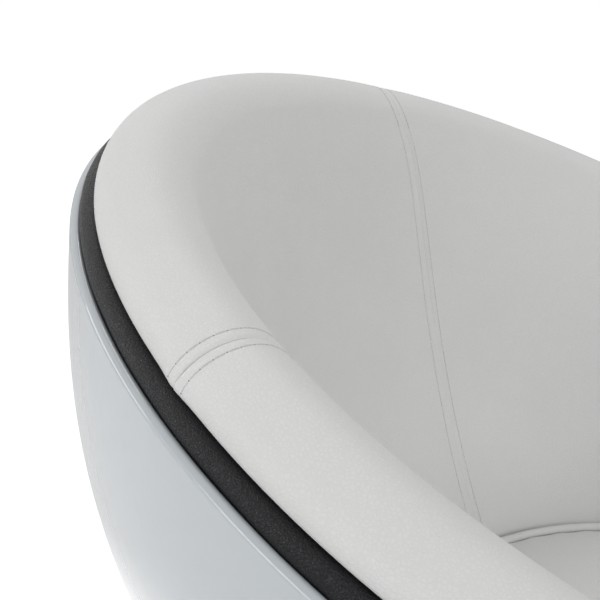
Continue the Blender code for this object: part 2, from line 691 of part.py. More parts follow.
def make_fasteners(steel, parent):
    """Return the flanged bolts that go through the plate and the bowl into tee nuts."""
    seat = PLATE_BOTTOM - GAP
    flange_bottom = seat - BOLT_FLANGE
    head_bottom = flange_bottom - BOLT_HEAD_HEIGHT
    rings = [hexagon(BOLT_HEAD_RADIUS, head_bottom), hexagon(BOLT_HEAD_RADIUS, flange_bottom),
             circle(BOLT_FLANGE_RADIUS, flange_bottom, SMALL_STEPS),
             circle(BOLT_FLANGE_RADIUS, seat, SMALL_STEPS), circle(BOLT_RADIUS, seat, SMALL_STEPS),
             circle(BOLT_RADIUS, TEE_NUT_TOP, SMALL_STEPS)]
    bolt = loft_mesh("mounting_bolt", rings)
    set_of("mounting_bolt", bolt, steel, parent, quarter_angles(), BOLT_CIRCLE)
    bore = BOLT_RADIUS + GAP
    flange_seat = DISC_TOP + GAP
    section = [(bore, DISC_TOP - TEE_NUT_DEPTH), (TEE_NUT_BARREL_RADIUS, DISC_TOP - TEE_NUT_DEPTH),
               (TEE_NUT_BARREL_RADIUS, flange_seat), (TEE_NUT_FLANGE_RADIUS, flange_seat),
               (TEE_NUT_FLANGE_RADIUS, TEE_NUT_TOP), (bore, TEE_NUT_TOP)]
    nut = lathe_mesh("tee_nut", section, SMALL_STEPS)
    set_of("tee_nut", nut, steel, parent, quarter_angles(), BOLT_CIRCLE)


def make_mounting_plate(material, parent):
    """Return the four-lobed plate with its flared hub."""
    turn = np.arange(ROUND_STEPS) * 2 * math.pi / ROUND_STEPS
    mean = (PLATE_LOBE_RADIUS + PLATE_WAIST_RADIUS) / 2
    swing = (PLATE_LOBE_RADIUS - PLATE_WAIST_RADIUS) / 2
    radius = mean + swing * np.cos(4 * turn)
    rings = [np.stack([radius * np.cos(turn), radius * np.sin(turn), np.full(ROUND_STEPS, z)], axis=1)
             for z in (PLATE_BOTTOM, PLATE_TOP)]
    plate = finish_object("mounting_plate", loft_mesh("mounting_plate", rings), material, parent)
    weld = PLATE_BOTTOM + PLATE_THICKNESS / 3
    flare_turns = np.linspace(0.0, math.pi / 2, 4)
    flare_line = [(HUB_RADIUS + HUB_FLARE * (1 - math.cos(a)),
                   PLATE_BOTTOM - HUB_FLARE_HEIGHT * (1 - math.sin(a))) for a in flare_turns]
    bore = SPINDLE_RADIUS + GAP
    section = [(bore, HUB_BOTTOM), (HUB_RADIUS, HUB_BOTTOM)] + flare_line
    section += [(HUB_RADIUS + HUB_FLARE, weld), (bore, weld)]
    hub = lathe("hub_tool", section, None, None)
    apply_boolean(plate, hub, "UNION")
    hole_radius = BOLT_RADIUS + BORE_CLEARANCE
    hole = [circle(hole_radius, z, SMALL_STEPS) for z in (PLATE_BOTTOM - 0.01, PLATE_TOP + 0.01)]
    holes = around("plate_holes", hole, quarter_angles(), BOLT_CIRCLE)
    apply_boolean(plate, make_tool("plate_hole_tool", holes), "DIFFERENCE")


def make_spindle(material, parent):
    """Return the spindle with its chamfered ends and the groove for the retaining ring."""
    r, c = SPINDLE_RADIUS, SPINDLE_CHAMFER
    groove = SPINDLE_RADIUS - CLIP_GROOVE_DEPTH
    low, high = CLIP_BOTTOM - GAP, CLIP_TOP + GAP
    profile = [(0.0, SPINDLE_TOP), (r - c, SPINDLE_TOP), (r, SPINDLE_TOP - c), (r, high), (groove, high),
               (groove, low), (r, low), (r, SPINDLE_BOTTOM + c), (r - c, SPINDLE_BOTTOM),
               (0.0, SPINDLE_BOTTOM)]
    lathe("spindle", profile, material, parent, ROUND_STEPS, closed=False)


def race_section(flat_z, groove_z, side):
    """Return a race's section: a flat back, and a ball groove in the face at groove_z."""
    inner = SPINDLE_RADIUS + RACE_INNER_MARGIN
    groove_radius = BALL_RADIUS + GAP
    half = math.sqrt(groove_radius ** 2 - (groove_radius - GROOVE_DEPTH) ** 2)
    centre_z = groove_z + side * (groove_radius - GROOVE_DEPTH)
    reach = math.asin(half / groove_radius)
    line = [(BALL_CIRCLE - groove_radius * math.sin(a), centre_z - side * groove_radius * math.cos(a))
            for a in np.linspace(reach, -reach, 4)]
    return [(inner, flat_z), (inner, groove_z)] + line + [(RACE_RADIUS, groove_z), (RACE_RADIUS, flat_z)]


def make_bearing(steel, brass, seat, cage_axis, base):
    """Return the thrust bearing: two grooved races, a ring of balls and their cage."""
    upper = race_section(UPPER_RACE_TOP, UPPER_RACE_BOTTOM, -1)
    lathe("upper_race", upper, steel, seat, MIDDLE_STEPS)
    lower = race_section(LOWER_RACE_BOTTOM, LOWER_RACE_TOP, 1)
    lathe("lower_race", lower, steel, base, MIDDLE_STEPS)
    angles = [k * 2 * math.pi / BALL_COUNT for k in range(BALL_COUNT)]
    rows = np.linspace(0.0, math.pi, 6)
    ball = [(0.0 if k in (0, 5) else BALL_RADIUS * math.sin(a), BALL_Z + BALL_RADIUS * math.cos(a))
            for k, a in enumerate(rows)]
    mesh = lathe_mesh("bearing_ball", ball, 8, closed=False)
    set_of("bearing_ball", mesh, steel, cage_axis, angles, BALL_CIRCLE)
    low, high = BALL_Z - CAGE_THICKNESS / 2, BALL_Z + CAGE_THICKNESS / 2
    outer, inner = BALL_CIRCLE + CAGE_MARGIN, BALL_CIRCLE - CAGE_MARGIN
    section = [(inner, low), (outer, low), (outer, high), (inner, high)]
    cage = lathe("ball_cage", section, brass, cage_axis, MIDDLE_STEPS)
    pocket = [circle(BALL_RADIUS + GAP, z, SMALL_STEPS) for z in (low - 0.001, high + 0.001)]
    pockets = around("cage_pockets", pocket, angles, BALL_CIRCLE)
    apply_boolean(cage, make_tool("cage_pocket_tool", pockets), "DIFFERENCE")


def make_cover(material, parent):
    """Return the cup that hangs over the bearing and the top of the column."""
    outer = COVER_INNER + COVER_WALL
    profile = [(COVER_BORE, COVER_TOP), (COVER_BORE, COVER_TOP - COVER_WALL),
               (COVER_INNER, COVER_TOP - COVER_WALL), (COVER_INNER, COVER_BOTTOM),
               (outer, COVER_BOTTOM), (outer, COVER_TOP - COVER_WALL), (outer - COVER_WALL, COVER_TOP)]
    lathe("bearing_cover", profile, material, parent)


def make_bushes(material, parent):
    """Return the flanged upper bush and the plain lower bush."""
    barrel = COLUMN_BORE - GAP
    flange_bottom = BUSH_FLANGE_TOP - BUSH_FLANGE
    upper = [(BORE_RADIUS, COLUMN_TOP - BUSH_LENGTH), (barrel, COLUMN_TOP - BUSH_LENGTH),
             (barrel, flange_bottom), (COLUMN_RADIUS, flange_bottom), (COLUMN_RADIUS, BUSH_FLANGE_TOP),
             (BORE_RADIUS, BUSH_FLANGE_TOP)]
    lathe("upper_bush", upper, material, parent)
    lower = [(BORE_RADIUS, LOWER_BUSH_BOTTOM), (barrel, LOWER_BUSH_BOTTOM), (barrel, LOWER_BUSH_TOP),
             (BORE_RADIUS, LOWER_BUSH_TOP)]
    lathe("lower_bush", lower, material, parent)


def make_retainer(steel, parent):
    """Return the thrust washer and the open retaining ring under the lower bush."""
    inner = SPINDLE_RADIUS + GAP
    washer = [(inner, THRUST_WASHER_BOTTOM), (THRUST_WASHER_RADIUS, THRUST_WASHER_BOTTOM),
              (THRUST_WASHER_RADIUS, THRUST_WASHER_TOP), (inner, THRUST_WASHER_TOP)]
    lathe("thrust_washer", washer, steel, parent, MIDDLE_STEPS)
    near = SPINDLE_RADIUS - CLIP_GROOVE_DEPTH + GAP
    far = near + CLIP_WIDTH
    rings = []
    for turn in np.linspace(CLIP_OPENING / 2, 2 * math.pi - CLIP_OPENING / 2, 25):
        corners = [(near, CLIP_BOTTOM), (far, CLIP_BOTTOM), (far, CLIP_TOP), (near, CLIP_TOP)]
        rings.append([(r * math.cos(turn), r * math.sin(turn), z) for r, z in corners])
    finish_object("retaining_ring", loft_mesh("retaining_ring", rings), steel, parent)


def make_column(chrome, steel, parent):
    """Return the column tube with its foot flange, and the screws that hold it down."""
    flange_top = COLUMN_BOTTOM + FOOT_FLANGE_THICKNESS
    fillet = 0.004
    profile = [(COLUMN_BORE, COLUMN_BOTTOM), (FOOT_FLANGE_RADIUS, COLUMN_BOTTOM),
               (FOOT_FLANGE_RADIUS, flange_top), (COLUMN_RADIUS + fillet, flange_top),
               (COLUMN_RADIUS, flange_top + fillet), (COLUMN_RADIUS, COLUMN_TOP),
               (COLUMN_BORE, COLUMN_TOP)]
    column = lathe("column", profile, chrome, parent)
    angles = quarter_angles(math.pi / 4)
    radius = COLUMN_SCREW_RADIUS + BORE_CLEARANCE
    levels = (COLUMN_BOTTOM - COLUMN_SCREW_BITE - GAP, flange_top + 0.01)
    holes = around("column_screw_holes", [circle(radius, z, SMALL_STEPS) for z in levels], angles,
                   COLUMN_SCREW_CIRCLE)
    tool = make_tool("column_screw_tool", holes)
    apply_boolean(column, tool, "DIFFERENCE")
    head_bottom = flange_top + GAP
    head_top = head_bottom + COLUMN_SCREW_HEAD_HEIGHT
    rings = [circle(COLUMN_SCREW_RADIUS, COLUMN_BOTTOM - COLUMN_SCREW_BITE, SMALL_STEPS),
             circle(COLUMN_SCREW_RADIUS, head_bottom, SMALL_STEPS),
             circle(COLUMN_SCREW_HEAD_RADIUS, head_bottom, SMALL_STEPS),
             circle(COLUMN_SCREW_HEAD_RADIUS, head_top, SMALL_STEPS)]
    screw = loft_mesh("column_screw", rings)
    set_of("column_screw", screw, steel, parent, angles, COLUMN_SCREW_CIRCLE)
    return tool


def foot_height(radius):
    """Return the height of the foot's top surface: flat at the edge, rising into a trumpet."""
    share = (FOOT_RADIUS - radius) / (FOOT_RADIUS - NECK_RADIUS)
    return FOOT_EDGE_HEIGHT + FOOT_RISE * share ** FOOT_CURVE


def foot_slope(radius):
    """Return how steep the foot's top surface is at a radius."""
    span = FOOT_RADIUS - NECK_RADIUS
    return FOOT_CURVE * FOOT_RISE * ((FOOT_RADIUS - radius) / span) ** (FOOT_CURVE - 1) / span


def make_foot(chrome, iron, rubber, parent, screw_tool):
    """Return the spun foot, the neck ring, the ballast and the floor pad."""
    edge_bottom = FLOOR_PAD_THICKNESS + GAP
    shares = np.linspace(0.0, 1.0, 7)
    radii = NECK_RADIUS + (FOOT_RADIUS - FOOT_EDGE_ROUND - NECK_RADIUS) * shares ** 1.5
    top = [(r, foot_height(r)) for r in radii]
    corner = (FOOT_RADIUS - FOOT_EDGE_ROUND, FOOT_EDGE_HEIGHT - FOOT_EDGE_ROUND)
    edge = [(corner[0] + FOOT_EDGE_ROUND * math.sin(a), corner[1] + FOOT_EDGE_ROUND * math.cos(a))
            for a in np.linspace(0.0, math.pi / 2, 4)[1:]]
    under = [(r, foot_height(r) - FOOT_WALL * math.hypot(1.0, foot_slope(r))) for r in radii[::-1]]
    inner_edge = [(FOOT_RADIUS - FOOT_WALL, edge_bottom), (FOOT_RADIUS - FOOT_WALL, corner[1])]
    profile = top + edge + [(FOOT_RADIUS, edge_bottom)] + inner_edge + under
    lathe("base_disc", profile, chrome, parent, FOOT_STEPS)

    ring_bottom = NECK_TOP + GAP
    bulge = [(NECK_RADIUS + NECK_RING_WIDTH * math.sin(a),
              ring_bottom + NECK_RING_HEIGHT * (1 - math.cos(a)) / 2)
             for a in np.linspace(0.3, math.pi - 0.3, 4)]
    section = [(NECK_RADIUS, ring_bottom)] + bulge + [(NECK_RADIUS, ring_bottom + NECK_RING_HEIGHT)]
    lathe("neck_ring", section, chrome, parent, ROUND_STEPS)

    radius, c = FOOT_RADIUS - BALLAST_MARGIN, BALLAST_CHAMFER
    ballast_profile = [(0.0, BALLAST_BOTTOM), (radius - c, BALLAST_BOTTOM), (radius, BALLAST_BOTTOM + c),
                       (radius, BALLAST_TOP - c), (radius - c, BALLAST_TOP), (0.0, BALLAST_TOP)]
    ballast = lathe("ballast", ballast_profile, iron, parent, FOOT_STEPS, closed=False)
    apply_boolean(ballast, screw_tool, "DIFFERENCE")

    pad_radius = FOOT_RADIUS - FLOOR_PAD_MARGIN
    pad = [circle(pad_radius, z, MIDDLE_STEPS) for z in (0.0, FLOOR_PAD_THICKNESS)]
    finish_object("floor_pad", loft_mesh("floor_pad", pad), rubber, parent)


def build():
    """Build every piece of the chair."""
    clear_scene()
    gloss_white = make_material("gloss_white_shell", (0.74, 0.78, 0.80), 0.08)
    liner_grey = make_material("moulded_liner", (0.30, 0.30, 0.31), 0.6)
    white_leather = make_material("white_leather", (0.72, 0.71, 0.69), 0.5)
    black_leather = make_material("black_leather", (0.02, 0.02, 0.022), 0.45)
    plywood = make_material("plywood", (0.62, 0.44, 0.26), 0.6)
    zinc = make_material("zinc_steel", (0.60, 0.61, 0.62), 0.35, 1.0)
    black_steel = make_material("black_steel", (0.05, 0.05, 0.055), 0.5, 0.6)
    chrome = make_material("chrome", (0.85, 0.86, 0.88), 0.06, 1.0)
    brass = make_material("brass", (0.78, 0.60, 0.28), 0.3, 1.0)
    nylon = make_material("nylon", (0.80, 0.79, 0.74), 0.45)
    iron = make_material("cast_iron", (0.10, 0.10, 0.11), 0.7, 0.5)
    rubber = make_material("rubber", (0.03, 0.03, 0.03), 0.8)

    base = make_empty("base_frame")
    swivel = make_empty("seat_swivel_axis", parent=base)
    cage_axis = make_empty("cage_spin_axis", parent=base)
    rim = make_empty("rim_frame", tuple(RIM_CENTRE), RIM_TILT, swivel)

    make_shell(gloss_white, rim)
    make_liner(liner_grey, rim)
    make_piping(black_leather, rim)
    seams = [-SEAM_ANGLE, SEAM_ANGLE, math.pi - SEAM_ANGLE, math.pi + SEAM_ANGLE]
    names = ["back_pad", "left_arm_pad", "front_pad", "right_arm_pad"]
    for name, first, last in zip(names, seams, seams[1:] + [2 * math.pi - SEAM_ANGLE]):
        make_pad(name, first, last, white_leather, rim)
    make_cushion(white_leather, swivel)
    make_welt(white_leather, swivel)
    screw_tool = make_seat_board(plywood, zinc, swivel)
    make_disc(plywood, swivel, screw_tool)
    make_fasteners(zinc, swivel)
    make_mounting_plate(black_steel, swivel)
    make_spindle(zinc, swivel)
    make_bearing(zinc, brass, swivel, cage_axis, base)
    make_cover(chrome, swivel)
    make_retainer(zinc, swivel)
    make_bushes(nylon, base)
    column_tool = make_column(chrome, zinc, base)
    make_foot(chrome, iron, rubber, base, column_tool)


build()
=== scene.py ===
"""Looks of the swivel tub armchair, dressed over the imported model.

Metres, +Z up, the chair faces -Y. Most of the chair is turned about the bowl's own axis, which leans
22.5 degrees forward. The "rim frame" has its origin in the middle of the rim plane, its Z along the
bowl's axis and its Y towards the back of the rim, and an angle "off the back" runs from that Y towards
the sitter's left.
"""

import json
import math

import bpy
import numpy as np
from mathutils import Matrix, Vector


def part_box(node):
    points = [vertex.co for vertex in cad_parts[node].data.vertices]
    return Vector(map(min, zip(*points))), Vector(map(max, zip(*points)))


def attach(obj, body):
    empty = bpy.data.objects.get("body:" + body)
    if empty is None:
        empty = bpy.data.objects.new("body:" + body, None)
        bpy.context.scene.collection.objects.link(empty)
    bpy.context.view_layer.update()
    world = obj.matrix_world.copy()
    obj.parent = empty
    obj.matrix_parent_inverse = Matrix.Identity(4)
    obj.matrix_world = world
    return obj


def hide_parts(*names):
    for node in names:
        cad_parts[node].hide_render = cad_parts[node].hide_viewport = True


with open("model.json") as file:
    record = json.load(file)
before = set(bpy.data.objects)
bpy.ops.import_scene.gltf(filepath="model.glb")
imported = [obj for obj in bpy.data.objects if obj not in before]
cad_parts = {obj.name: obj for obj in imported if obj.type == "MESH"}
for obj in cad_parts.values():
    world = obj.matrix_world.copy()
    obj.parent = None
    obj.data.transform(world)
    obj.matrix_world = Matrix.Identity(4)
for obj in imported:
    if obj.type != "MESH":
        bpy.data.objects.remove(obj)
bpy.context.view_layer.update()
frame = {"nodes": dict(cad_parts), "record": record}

NODES = frame["nodes"]

# Sizes of the bowl, in metres and radians
MOUNT_HEIGHT = 0.3125
FLAT_RADIUS = 0.085
SHELL_RADIUS = 0.3645
SHELL_WALL = 0.006
LIP_FLARE = 0.006
FLARE_LENGTH = 0.040
LIP_DEPTH = 0.0115
RIM_TILT = math.radians(22.5)
RIM_DROP = 0.040
SPHERE_DROP = math.sqrt(SHELL_RADIUS ** 2 - FLAT_RADIUS ** 2)
CENTRE_Z = MOUNT_HEIGHT + SPHERE_DROP
RIM_CENTRE = np.array([0.0, RIM_DROP * math.sin(RIM_TILT), CENTRE_Z - RIM_DROP * math.cos(RIM_TILT)])
LIP_POLAR = math.acos((RIM_DROP + LIP_DEPTH) / SHELL_RADIUS)

# The bowl's visual lip, as steps of radius and height in the rim frame
LIP_SHOULDER = np.array([-0.0001, 0.0038])
SHOULDER_PULLS = np.array([[0.0008, 0.0029], [0.0007, -0.0004]])
LIP_TOP_PULLS = np.array([[-0.0015, 0.0009], [0.0008, 0.0066]])
INNER_FLAT_RADIUS = 0.082

# Sizes of the piping and the padded lining
PIPING_RADIUS = 0.0065
PIPING_LIFT = 0.0022
PIPING_GAP = 0.0008
ROLL_RADIUS = 0.0317
ROLL_OUT = 0.0018
ROLL_LIFT = 0.0020
BACK_EDGE = np.array([-0.0078, -0.0010])
CREASE_ANGLE = math.radians(12.5)
CREASE_TUCK = 0.10
TUCK_START = math.radians(40.0)
SEAM_ANGLE = math.radians(46.4)
SEAM_DRIFT = np.radians([1.13, 5.52, 2.97])
SEAM_DRIFT_START = math.radians(100.0)
SEAM_DRIFT_FADE = 0.150
WALL_LEAN = math.radians(31.0)
WALL_LEAN_CHANGE = math.radians(8.0)
WALL_FOOT_RADIUS = 0.179
WALL_FOOT_LEAN = math.radians(42.0)
WALL_TOP_PULL = 0.30
WALL_FOOT_PULL = 0.30
HOLE_RADIUS = 0.1263
LINER_THICKNESS = 0.0068
ROLL_SHARE = 0.20
FOOT_SHARE = 0.90

# Sizes at the seams, where the columns of a panel lie so many millimetres from its seam
SEAM_COLUMNS = [0.04, 0.5, 1.0, 1.6, 2.4, 3.3, 4.2, 4.9, 5.3, 5.6, 5.9, 6.4, 7.3, 8.8, 11.0, 14.0, 17.5,
                22.0, 28.0, 36.0]
STITCH_COLUMN = 9
STITCH_OFFSET = SEAM_COLUMNS[STITCH_COLUMN] / 1000
STITCH_PITCH = 0.0064
STITCH_TRIM = 0.00035
STITCH_START = 0.0016
STITCH_END = 0.004
THREAD_RADIUS = 0.00040
ROLL_STITCHES = 0.080
HOLE_RADII = [0.00054, 0.00040, 0.00002]
HOLE_HEIGHTS = [-0.0003, 0.00006, 0.00010]

# Relief at the seams, in metres: a depth or height and a width for each dip, ridge and puff
VALLEY_DEPTH, VALLEY_WIDTH = 0.00105, 0.0008
RIDGE_HEIGHT, RIDGE_WIDTH = 0.00055, 0.0022
HOLLOW_DEPTH, HOLLOW_WIDTH = 0.00025, 0.0110
HOLLOW_ON_ROLL = 0.00015
GROOVE_DEPTH, GROOVE_WIDTH, LOOSE_GROOVE_WIDTH = 0.00018, 0.0007, 0.0018
PUFF_HEIGHT, PUFF_WIDTH, PUFF_PLACE = 0.00012, 0.0018, 0.0030
BULGE_HEIGHT, BULGE_WIDTH = 0.0012, 0.0100

# Sizes of the seat cushion
CUSHION_RADIUS = 0.168
CUSHION_TILT = math.radians(4.0)
CUSHION_SIDE = 0.012
CUSHION_CROWN = 0.018
CUSHION_LOW_RADIUS = 0.1225
CUSHION_FOOT_RADIUS = 0.116
CUSHION_GAP = 0.002
CUSHION_TUCK = 0.0062
PUCKER_HEIGHT = 0.0007
WELT_RADIUS = 0.0035
WELT_GAP = 0.0003

# Sizes of the pedestal's turned metal
TUBE_BORE = 0.0275
TUBE_RADIUS = 0.030
SLEEVE_RADIUS = 0.0303
FLANGE_THICKNESS = 0.006
SHEET = 0.002
BEVEL = 0.0004

# Light levels, where 1 is white, and lamps: a place and a power in watts each
WORLD_LEVEL = 0.350
MIRRORED_LOW = 0.60
MIRRORED_HIGH = 0.85
FLOOR_GLOW = 0.70
FLOOR_MIRRORED, FLOOR_MIRRORED_NEAR = 0.10, 0.40
SOFTBOX_SIZE = 1.1
SOFTBOX_TARGET = Vector((0.0, 0.0, 0.6))
SOFTBOXES = {
    "back_softbox": ((0.0, 2.2, 1.5), 10.9),
    "back_left_softbox": ((-1.57, 1.57, 1.5), 13.5),
    "front_left_softbox": ((-1.57, -1.57, 1.5), 20.0),
    "far_side_softbox": ((1.42, 0.20, 2.5), 14.0),
}

# The camera: its place from the rim's centre, where it looks, and its focal length for a 600-pixel picture
CAMERA_PLACE = Vector((-0.62540, 0.10612, 0.30089))
CAMERA_FORWARD = Vector((0.90455, 0.16955, -0.39120))
CAMERA_RIGHT = Vector((0.184236, -0.982882, 0.0))
FOCAL_PIXELS = 1076.86
PICTURE_PIXELS = 600.0
SENSOR_WIDTH = 36.0


def flare(z):
    """How far the bowl's wall stands out near its lip: a length times exp(height / flare length)."""
    return LIP_FLARE * np.exp(np.asarray(z) / FLARE_LENGTH)


def lip_point(inset):
    """Radius and height in the rim frame of the wall's end: the sphere less an inset, plus the flare."""
    radius = SHELL_RADIUS - inset
    z = RIM_DROP - radius * math.cos(LIP_POLAR)
    return np.array([(radius + float(flare(z))) * math.sin(LIP_POLAR), z])


LIP_OUTER = lip_point(0.0)
LIP_INNER = lip_point(SHELL_WALL)
PIPING_Z = LIP_INNER[1] + PIPING_LIFT + PIPING_RADIUS
PIPING_CIRCLE = (LIP_OUTER[0] + LIP_INNER[0] - SHELL_WALL - PIPING_RADIUS) / 2
CREASE_RADIUS = ROLL_RADIUS * (1.0 - CREASE_TUCK)
ROLL_CIRCLE = PIPING_CIRCLE + ROLL_OUT - CREASE_RADIUS * math.cos(CREASE_ANGLE)
ROLL_Z = PIPING_Z + PIPING_RADIUS + ROLL_LIFT - CREASE_RADIUS * math.sin(CREASE_ANGLE)
WALL_RADIUS = ROLL_CIRCLE - ROLL_RADIUS
WALL_CENTRE = RIM_CENTRE + ROLL_Z * np.array([0.0, -math.sin(RIM_TILT), math.cos(RIM_TILT)])
CUSHION_EDGE_Z = CUSHION_SIDE - math.sqrt((WALL_RADIUS - CUSHION_GAP) ** 2 - CUSHION_RADIUS ** 2)


def full_turn(count):
    """Angles that share out a full turn."""
    return np.arange(count) * 2 * math.pi / count


def bell(distance, width):
    """A bell curve: exp of less the square of distance over width."""
    return np.exp(-(distance / width) ** 2)


def unit(vectors):
    """Vectors at a length of 1."""
    return vectors / np.linalg.norm(vectors, axis=-1, keepdims=True)


def leaned(points, angle):
    """Points turned about X: y cos a - z sin a, and y sin a + z cos a."""
    x, y, z = np.moveaxis(np.asarray(points, dtype=float), -1, 0)
    c, s = math.cos(angle), math.sin(angle)
    return np.stack([x, y * c - z * s, y * s + z * c], axis=-1)


def to_chair(points):
    """Lean rim frame points by the tilt and move them to the rim's centre."""
    return leaned(points, RIM_TILT) + RIM_CENTRE


def to_rim_direction(vectors):
    """Lean directions of the chair's frame back into the rim frame."""
    return leaned(vectors, -RIM_TILT)


# ---------------------------------------------------------------- meshes

def grid_faces(rows, columns, wrap_rows=False, wrap_columns=False):
    """Quads over a grid of points numbered row by row, closed round either way if asked."""
    r = np.arange(rows if wrap_rows else rows - 1)
    c = np.arange(columns if wrap_columns else columns - 1)
    r, c = np.meshgrid(r, c, indexing="ij")
    r2, c2 = (r + 1) % rows, (c + 1) % columns
    quads = np.stack([r * columns + c, r * columns + c2, r2 * columns + c2, r2 * columns + c], axis=-1)
    return quads.reshape(-1, 4)


def signed_volume(points, faces):
    """Volume enclosed by faces that are fans of triangles: the sum of a . (b x c) / 6."""
    total = 0.0
    for face in faces:
        p = points[np.asarray(face)]
        if p.ndim == 2:
            p = p[None]
        for k in range(1, p.shape[1] - 1):
            total += float(np.einsum("ij,ij->i", p[:, 0], np.cross(p[:, k], p[:, k + 1])).sum()) / 6
    return total


def make_piece(name, points, face_sets, finishes, body="seat", sharp=None, face_finish=None):
    """Make an object of face arrays, turned outwards, smooth, riding on a body."""
    points = np.asarray(points, dtype=float).reshape(-1, 3)
    face_sets = [np.asarray(faces) for faces in face_sets]
    flip = signed_volume(points, face_sets) < 0
    faces = []
    for face_set in face_sets:
        faces += (face_set[:, ::-1] if flip else face_set).tolist()
    mesh = bpy.data.meshes.new(name)
    mesh.from_pydata(points.tolist(), [], faces)
    mesh.shade_smooth()
    if sharp is not None:
        mesh.set_sharp_from_angle(angle=math.radians(sharp))
    for finish in finishes:
        mesh.materials.append(finish)
    if face_finish is not None:
        mesh.polygons.foreach_set("material_index", np.asarray(face_finish, dtype=np.int32))
    piece = bpy.data.objects.new(name, mesh)
    bpy.context.scene.collection.objects.link(piece)
    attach(piece, body)
    return piece


def round_points(radius, turn, height):
    """Points about Z at a radius, a turn and a height."""
    radius, turn, height = np.broadcast_arrays(radius, turn, height)
    return np.stack([radius * np.cos(turn), radius * np.sin(turn), height], axis=-1)


def turn_piece(name, profile, finish, body, steps=160, sharp=35.0):
    """Turn a closed (radius, height) profile round the swivel axis into a ring-shaped piece."""
    profile = np.asarray(profile, dtype=float)
    grid = round_points(profile[:, :1], full_turn(steps), profile[:, 1:])
    faces = grid_faces(grid.shape[0], steps, wrap_rows=True, wrap_columns=True)
    return make_piece(name, grid, [faces], [finish], body, sharp)


def arc(centre, radii, first, last, count):
    """Points of an elliptic arc: centre + (a cos t, b sin t), t in degrees from first to last."""
    t = np.radians(np.linspace(first, last, count))
    return np.stack([centre[0] + radii[0] * np.cos(t), centre[1] + radii[1] * np.sin(t)], axis=1)


def rim_ring(angle, radius, z):
    """Rim frame point: an angle off the back, a radius and a height."""
    angle, radius, z = np.broadcast_arrays(angle, radius, z)
    return np.stack([radius * np.sin(angle), radius * np.cos(angle), z], axis=-1)


def grid_normals(grid):
    """Unit normals of a grid of points: the cross product of its differences along both ways."""
    along = np.gradient(grid, axis=0)
    across = np.gradient(grid, axis=1)
    normal = np.cross(across, along)
    return normal / np.maximum(np.linalg.norm(normal, axis=-1, keepdims=True), 1e-12)


# ---------------------------------------------------------------- finishes

class Wire:
    """An output socket that can stand in sums, so that 1 - mask * 0.5 adds its Math nodes."""

    def __init__(self, finish, socket):
        self.finish = finish
        self.socket = socket

    def math(self, operation, first, second=None):
        """One Math node."""
        inputs = {0: first} if second is None else {0: first, 1: second}
        return self.finish.node("ShaderNodeMath", {"operation": operation}, inputs)

    def __add__(self, other):
        return self.math("ADD", self, other)

    __radd__ = __add__

    def __sub__(self, other):
        return self.math("SUBTRACT", self, other)

    def __rsub__(self, other):
        return self.math("SUBTRACT", other, self)

    def __mul__(self, other):
        return self.math("MULTIPLY", self, other)

    def sine(self):
        """The sine of the value."""
        return self.math("SINE", self)

    def step(self, low, high):
        """A smooth step from 0 at low to 1 at high."""
        return self.finish.node("ShaderNodeMapRange", {"interpolation_type": "SMOOTHSTEP"},
                                {"Value": self, "From Min": low, "From Max": high})


class Finish:
    """A material whose nodes are added by one method."""

    def __init__(self, name):
        self.material = bpy.data.materials.new(name)
        self.material.use_nodes = True
        self.tree = self.material.node_tree
        self.shader = self.tree.nodes["Principled BSDF"]

    def node(self, kind, settings=None, inputs=None, output=0):
        """Add a node: its settings first, then its inputs by name or number, and return an output."""
        made = self.tree.nodes.new(kind)
        for key, value in (settings or {}).items():
            setattr(made, key, value)
        for key, value in (inputs or {}).items():
            self.plug(made.inputs[key], value)
        return Wire(self, made.outputs[output])

    def plug(self, socket, value):
        """Link a wire to a socket, or set its value."""
        if isinstance(value, Wire):
            self.tree.links.new(value.socket, socket)
        else:
            socket.default_value = value

    def set(self, **values):
        """Set the shader's sockets by name, with an underscore for each space."""
        for key, value in values.items():
            self.plug(self.shader.inputs[key.replace("_", " ")], value)
        return self

    def place(self, scale=(1.0, 1.0, 1.0)):
        """The point's place on the object in metres, scaled."""
        coordinates = self.node("ShaderNodeTexCoord", output="Object")
        return self.node("ShaderNodeMapping", None, {"Vector": coordinates, "Scale": scale})

    def noise(self, place, scale, detail=2.0, roughness=0.5, distortion=0.0):
        """Cloudy noise from 0 to 1, with scale counting blobs to the metre."""
        return self.node("ShaderNodeTexNoise", None, {"Vector": place, "Scale": scale, "Detail": detail,
                                                      "Roughness": roughness, "Distortion": distortion})

    def cells(self, place, scale):
        """Cell pattern: how far a point is from its cell's edge."""
        return self.node("ShaderNodeTexVoronoi", {"feature": "DISTANCE_TO_EDGE"},
                         {"Vector": place, "Scale": scale, "Randomness": 1.0})

    def warp(self, place, scale, amount):
        """Shift places by noise, so that a pattern's lines wander."""
        shift = self.node("ShaderNodeTexNoise", None, {"Vector": place, "Scale": scale, "Detail": 1.0},
                          output="Color")
        centred = self.node("ShaderNodeVectorMath", {"operation": "SUBTRACT"},
                            {0: shift, 1: (0.5, 0.5, 0.5)})
        scaled = self.node("ShaderNodeVectorMath", {"operation": "SCALE"}, {0: centred, "Scale": amount})
        return self.node("ShaderNodeVectorMath", {"operation": "ADD"}, {0: place, 1: scaled})

    def mix(self, factor, first, second):
        """Blend two colours."""
        made = self.tree.nodes.new("ShaderNodeMix")
        made.data_type = "RGBA"
        for index, value in ((0, factor), (6, first), (7, second)):
            self.plug(made.inputs[index], value)
        return Wire(self, made.outputs[2])

    def bump(self, height, distance):
        """A normal from a height map, where a height of 1 stands a distance out."""
        return self.node("ShaderNodeBump", None, {"Height": height, "Distance": distance, "Strength": 1.0})


def rgb(red, green, blue):
    """An opaque colour."""
    return (red, green, blue, 1.0)


def darker(colour, share):
    """An opaque colour at a share of its brightness."""
    return rgb(*[level * share for level in colour])


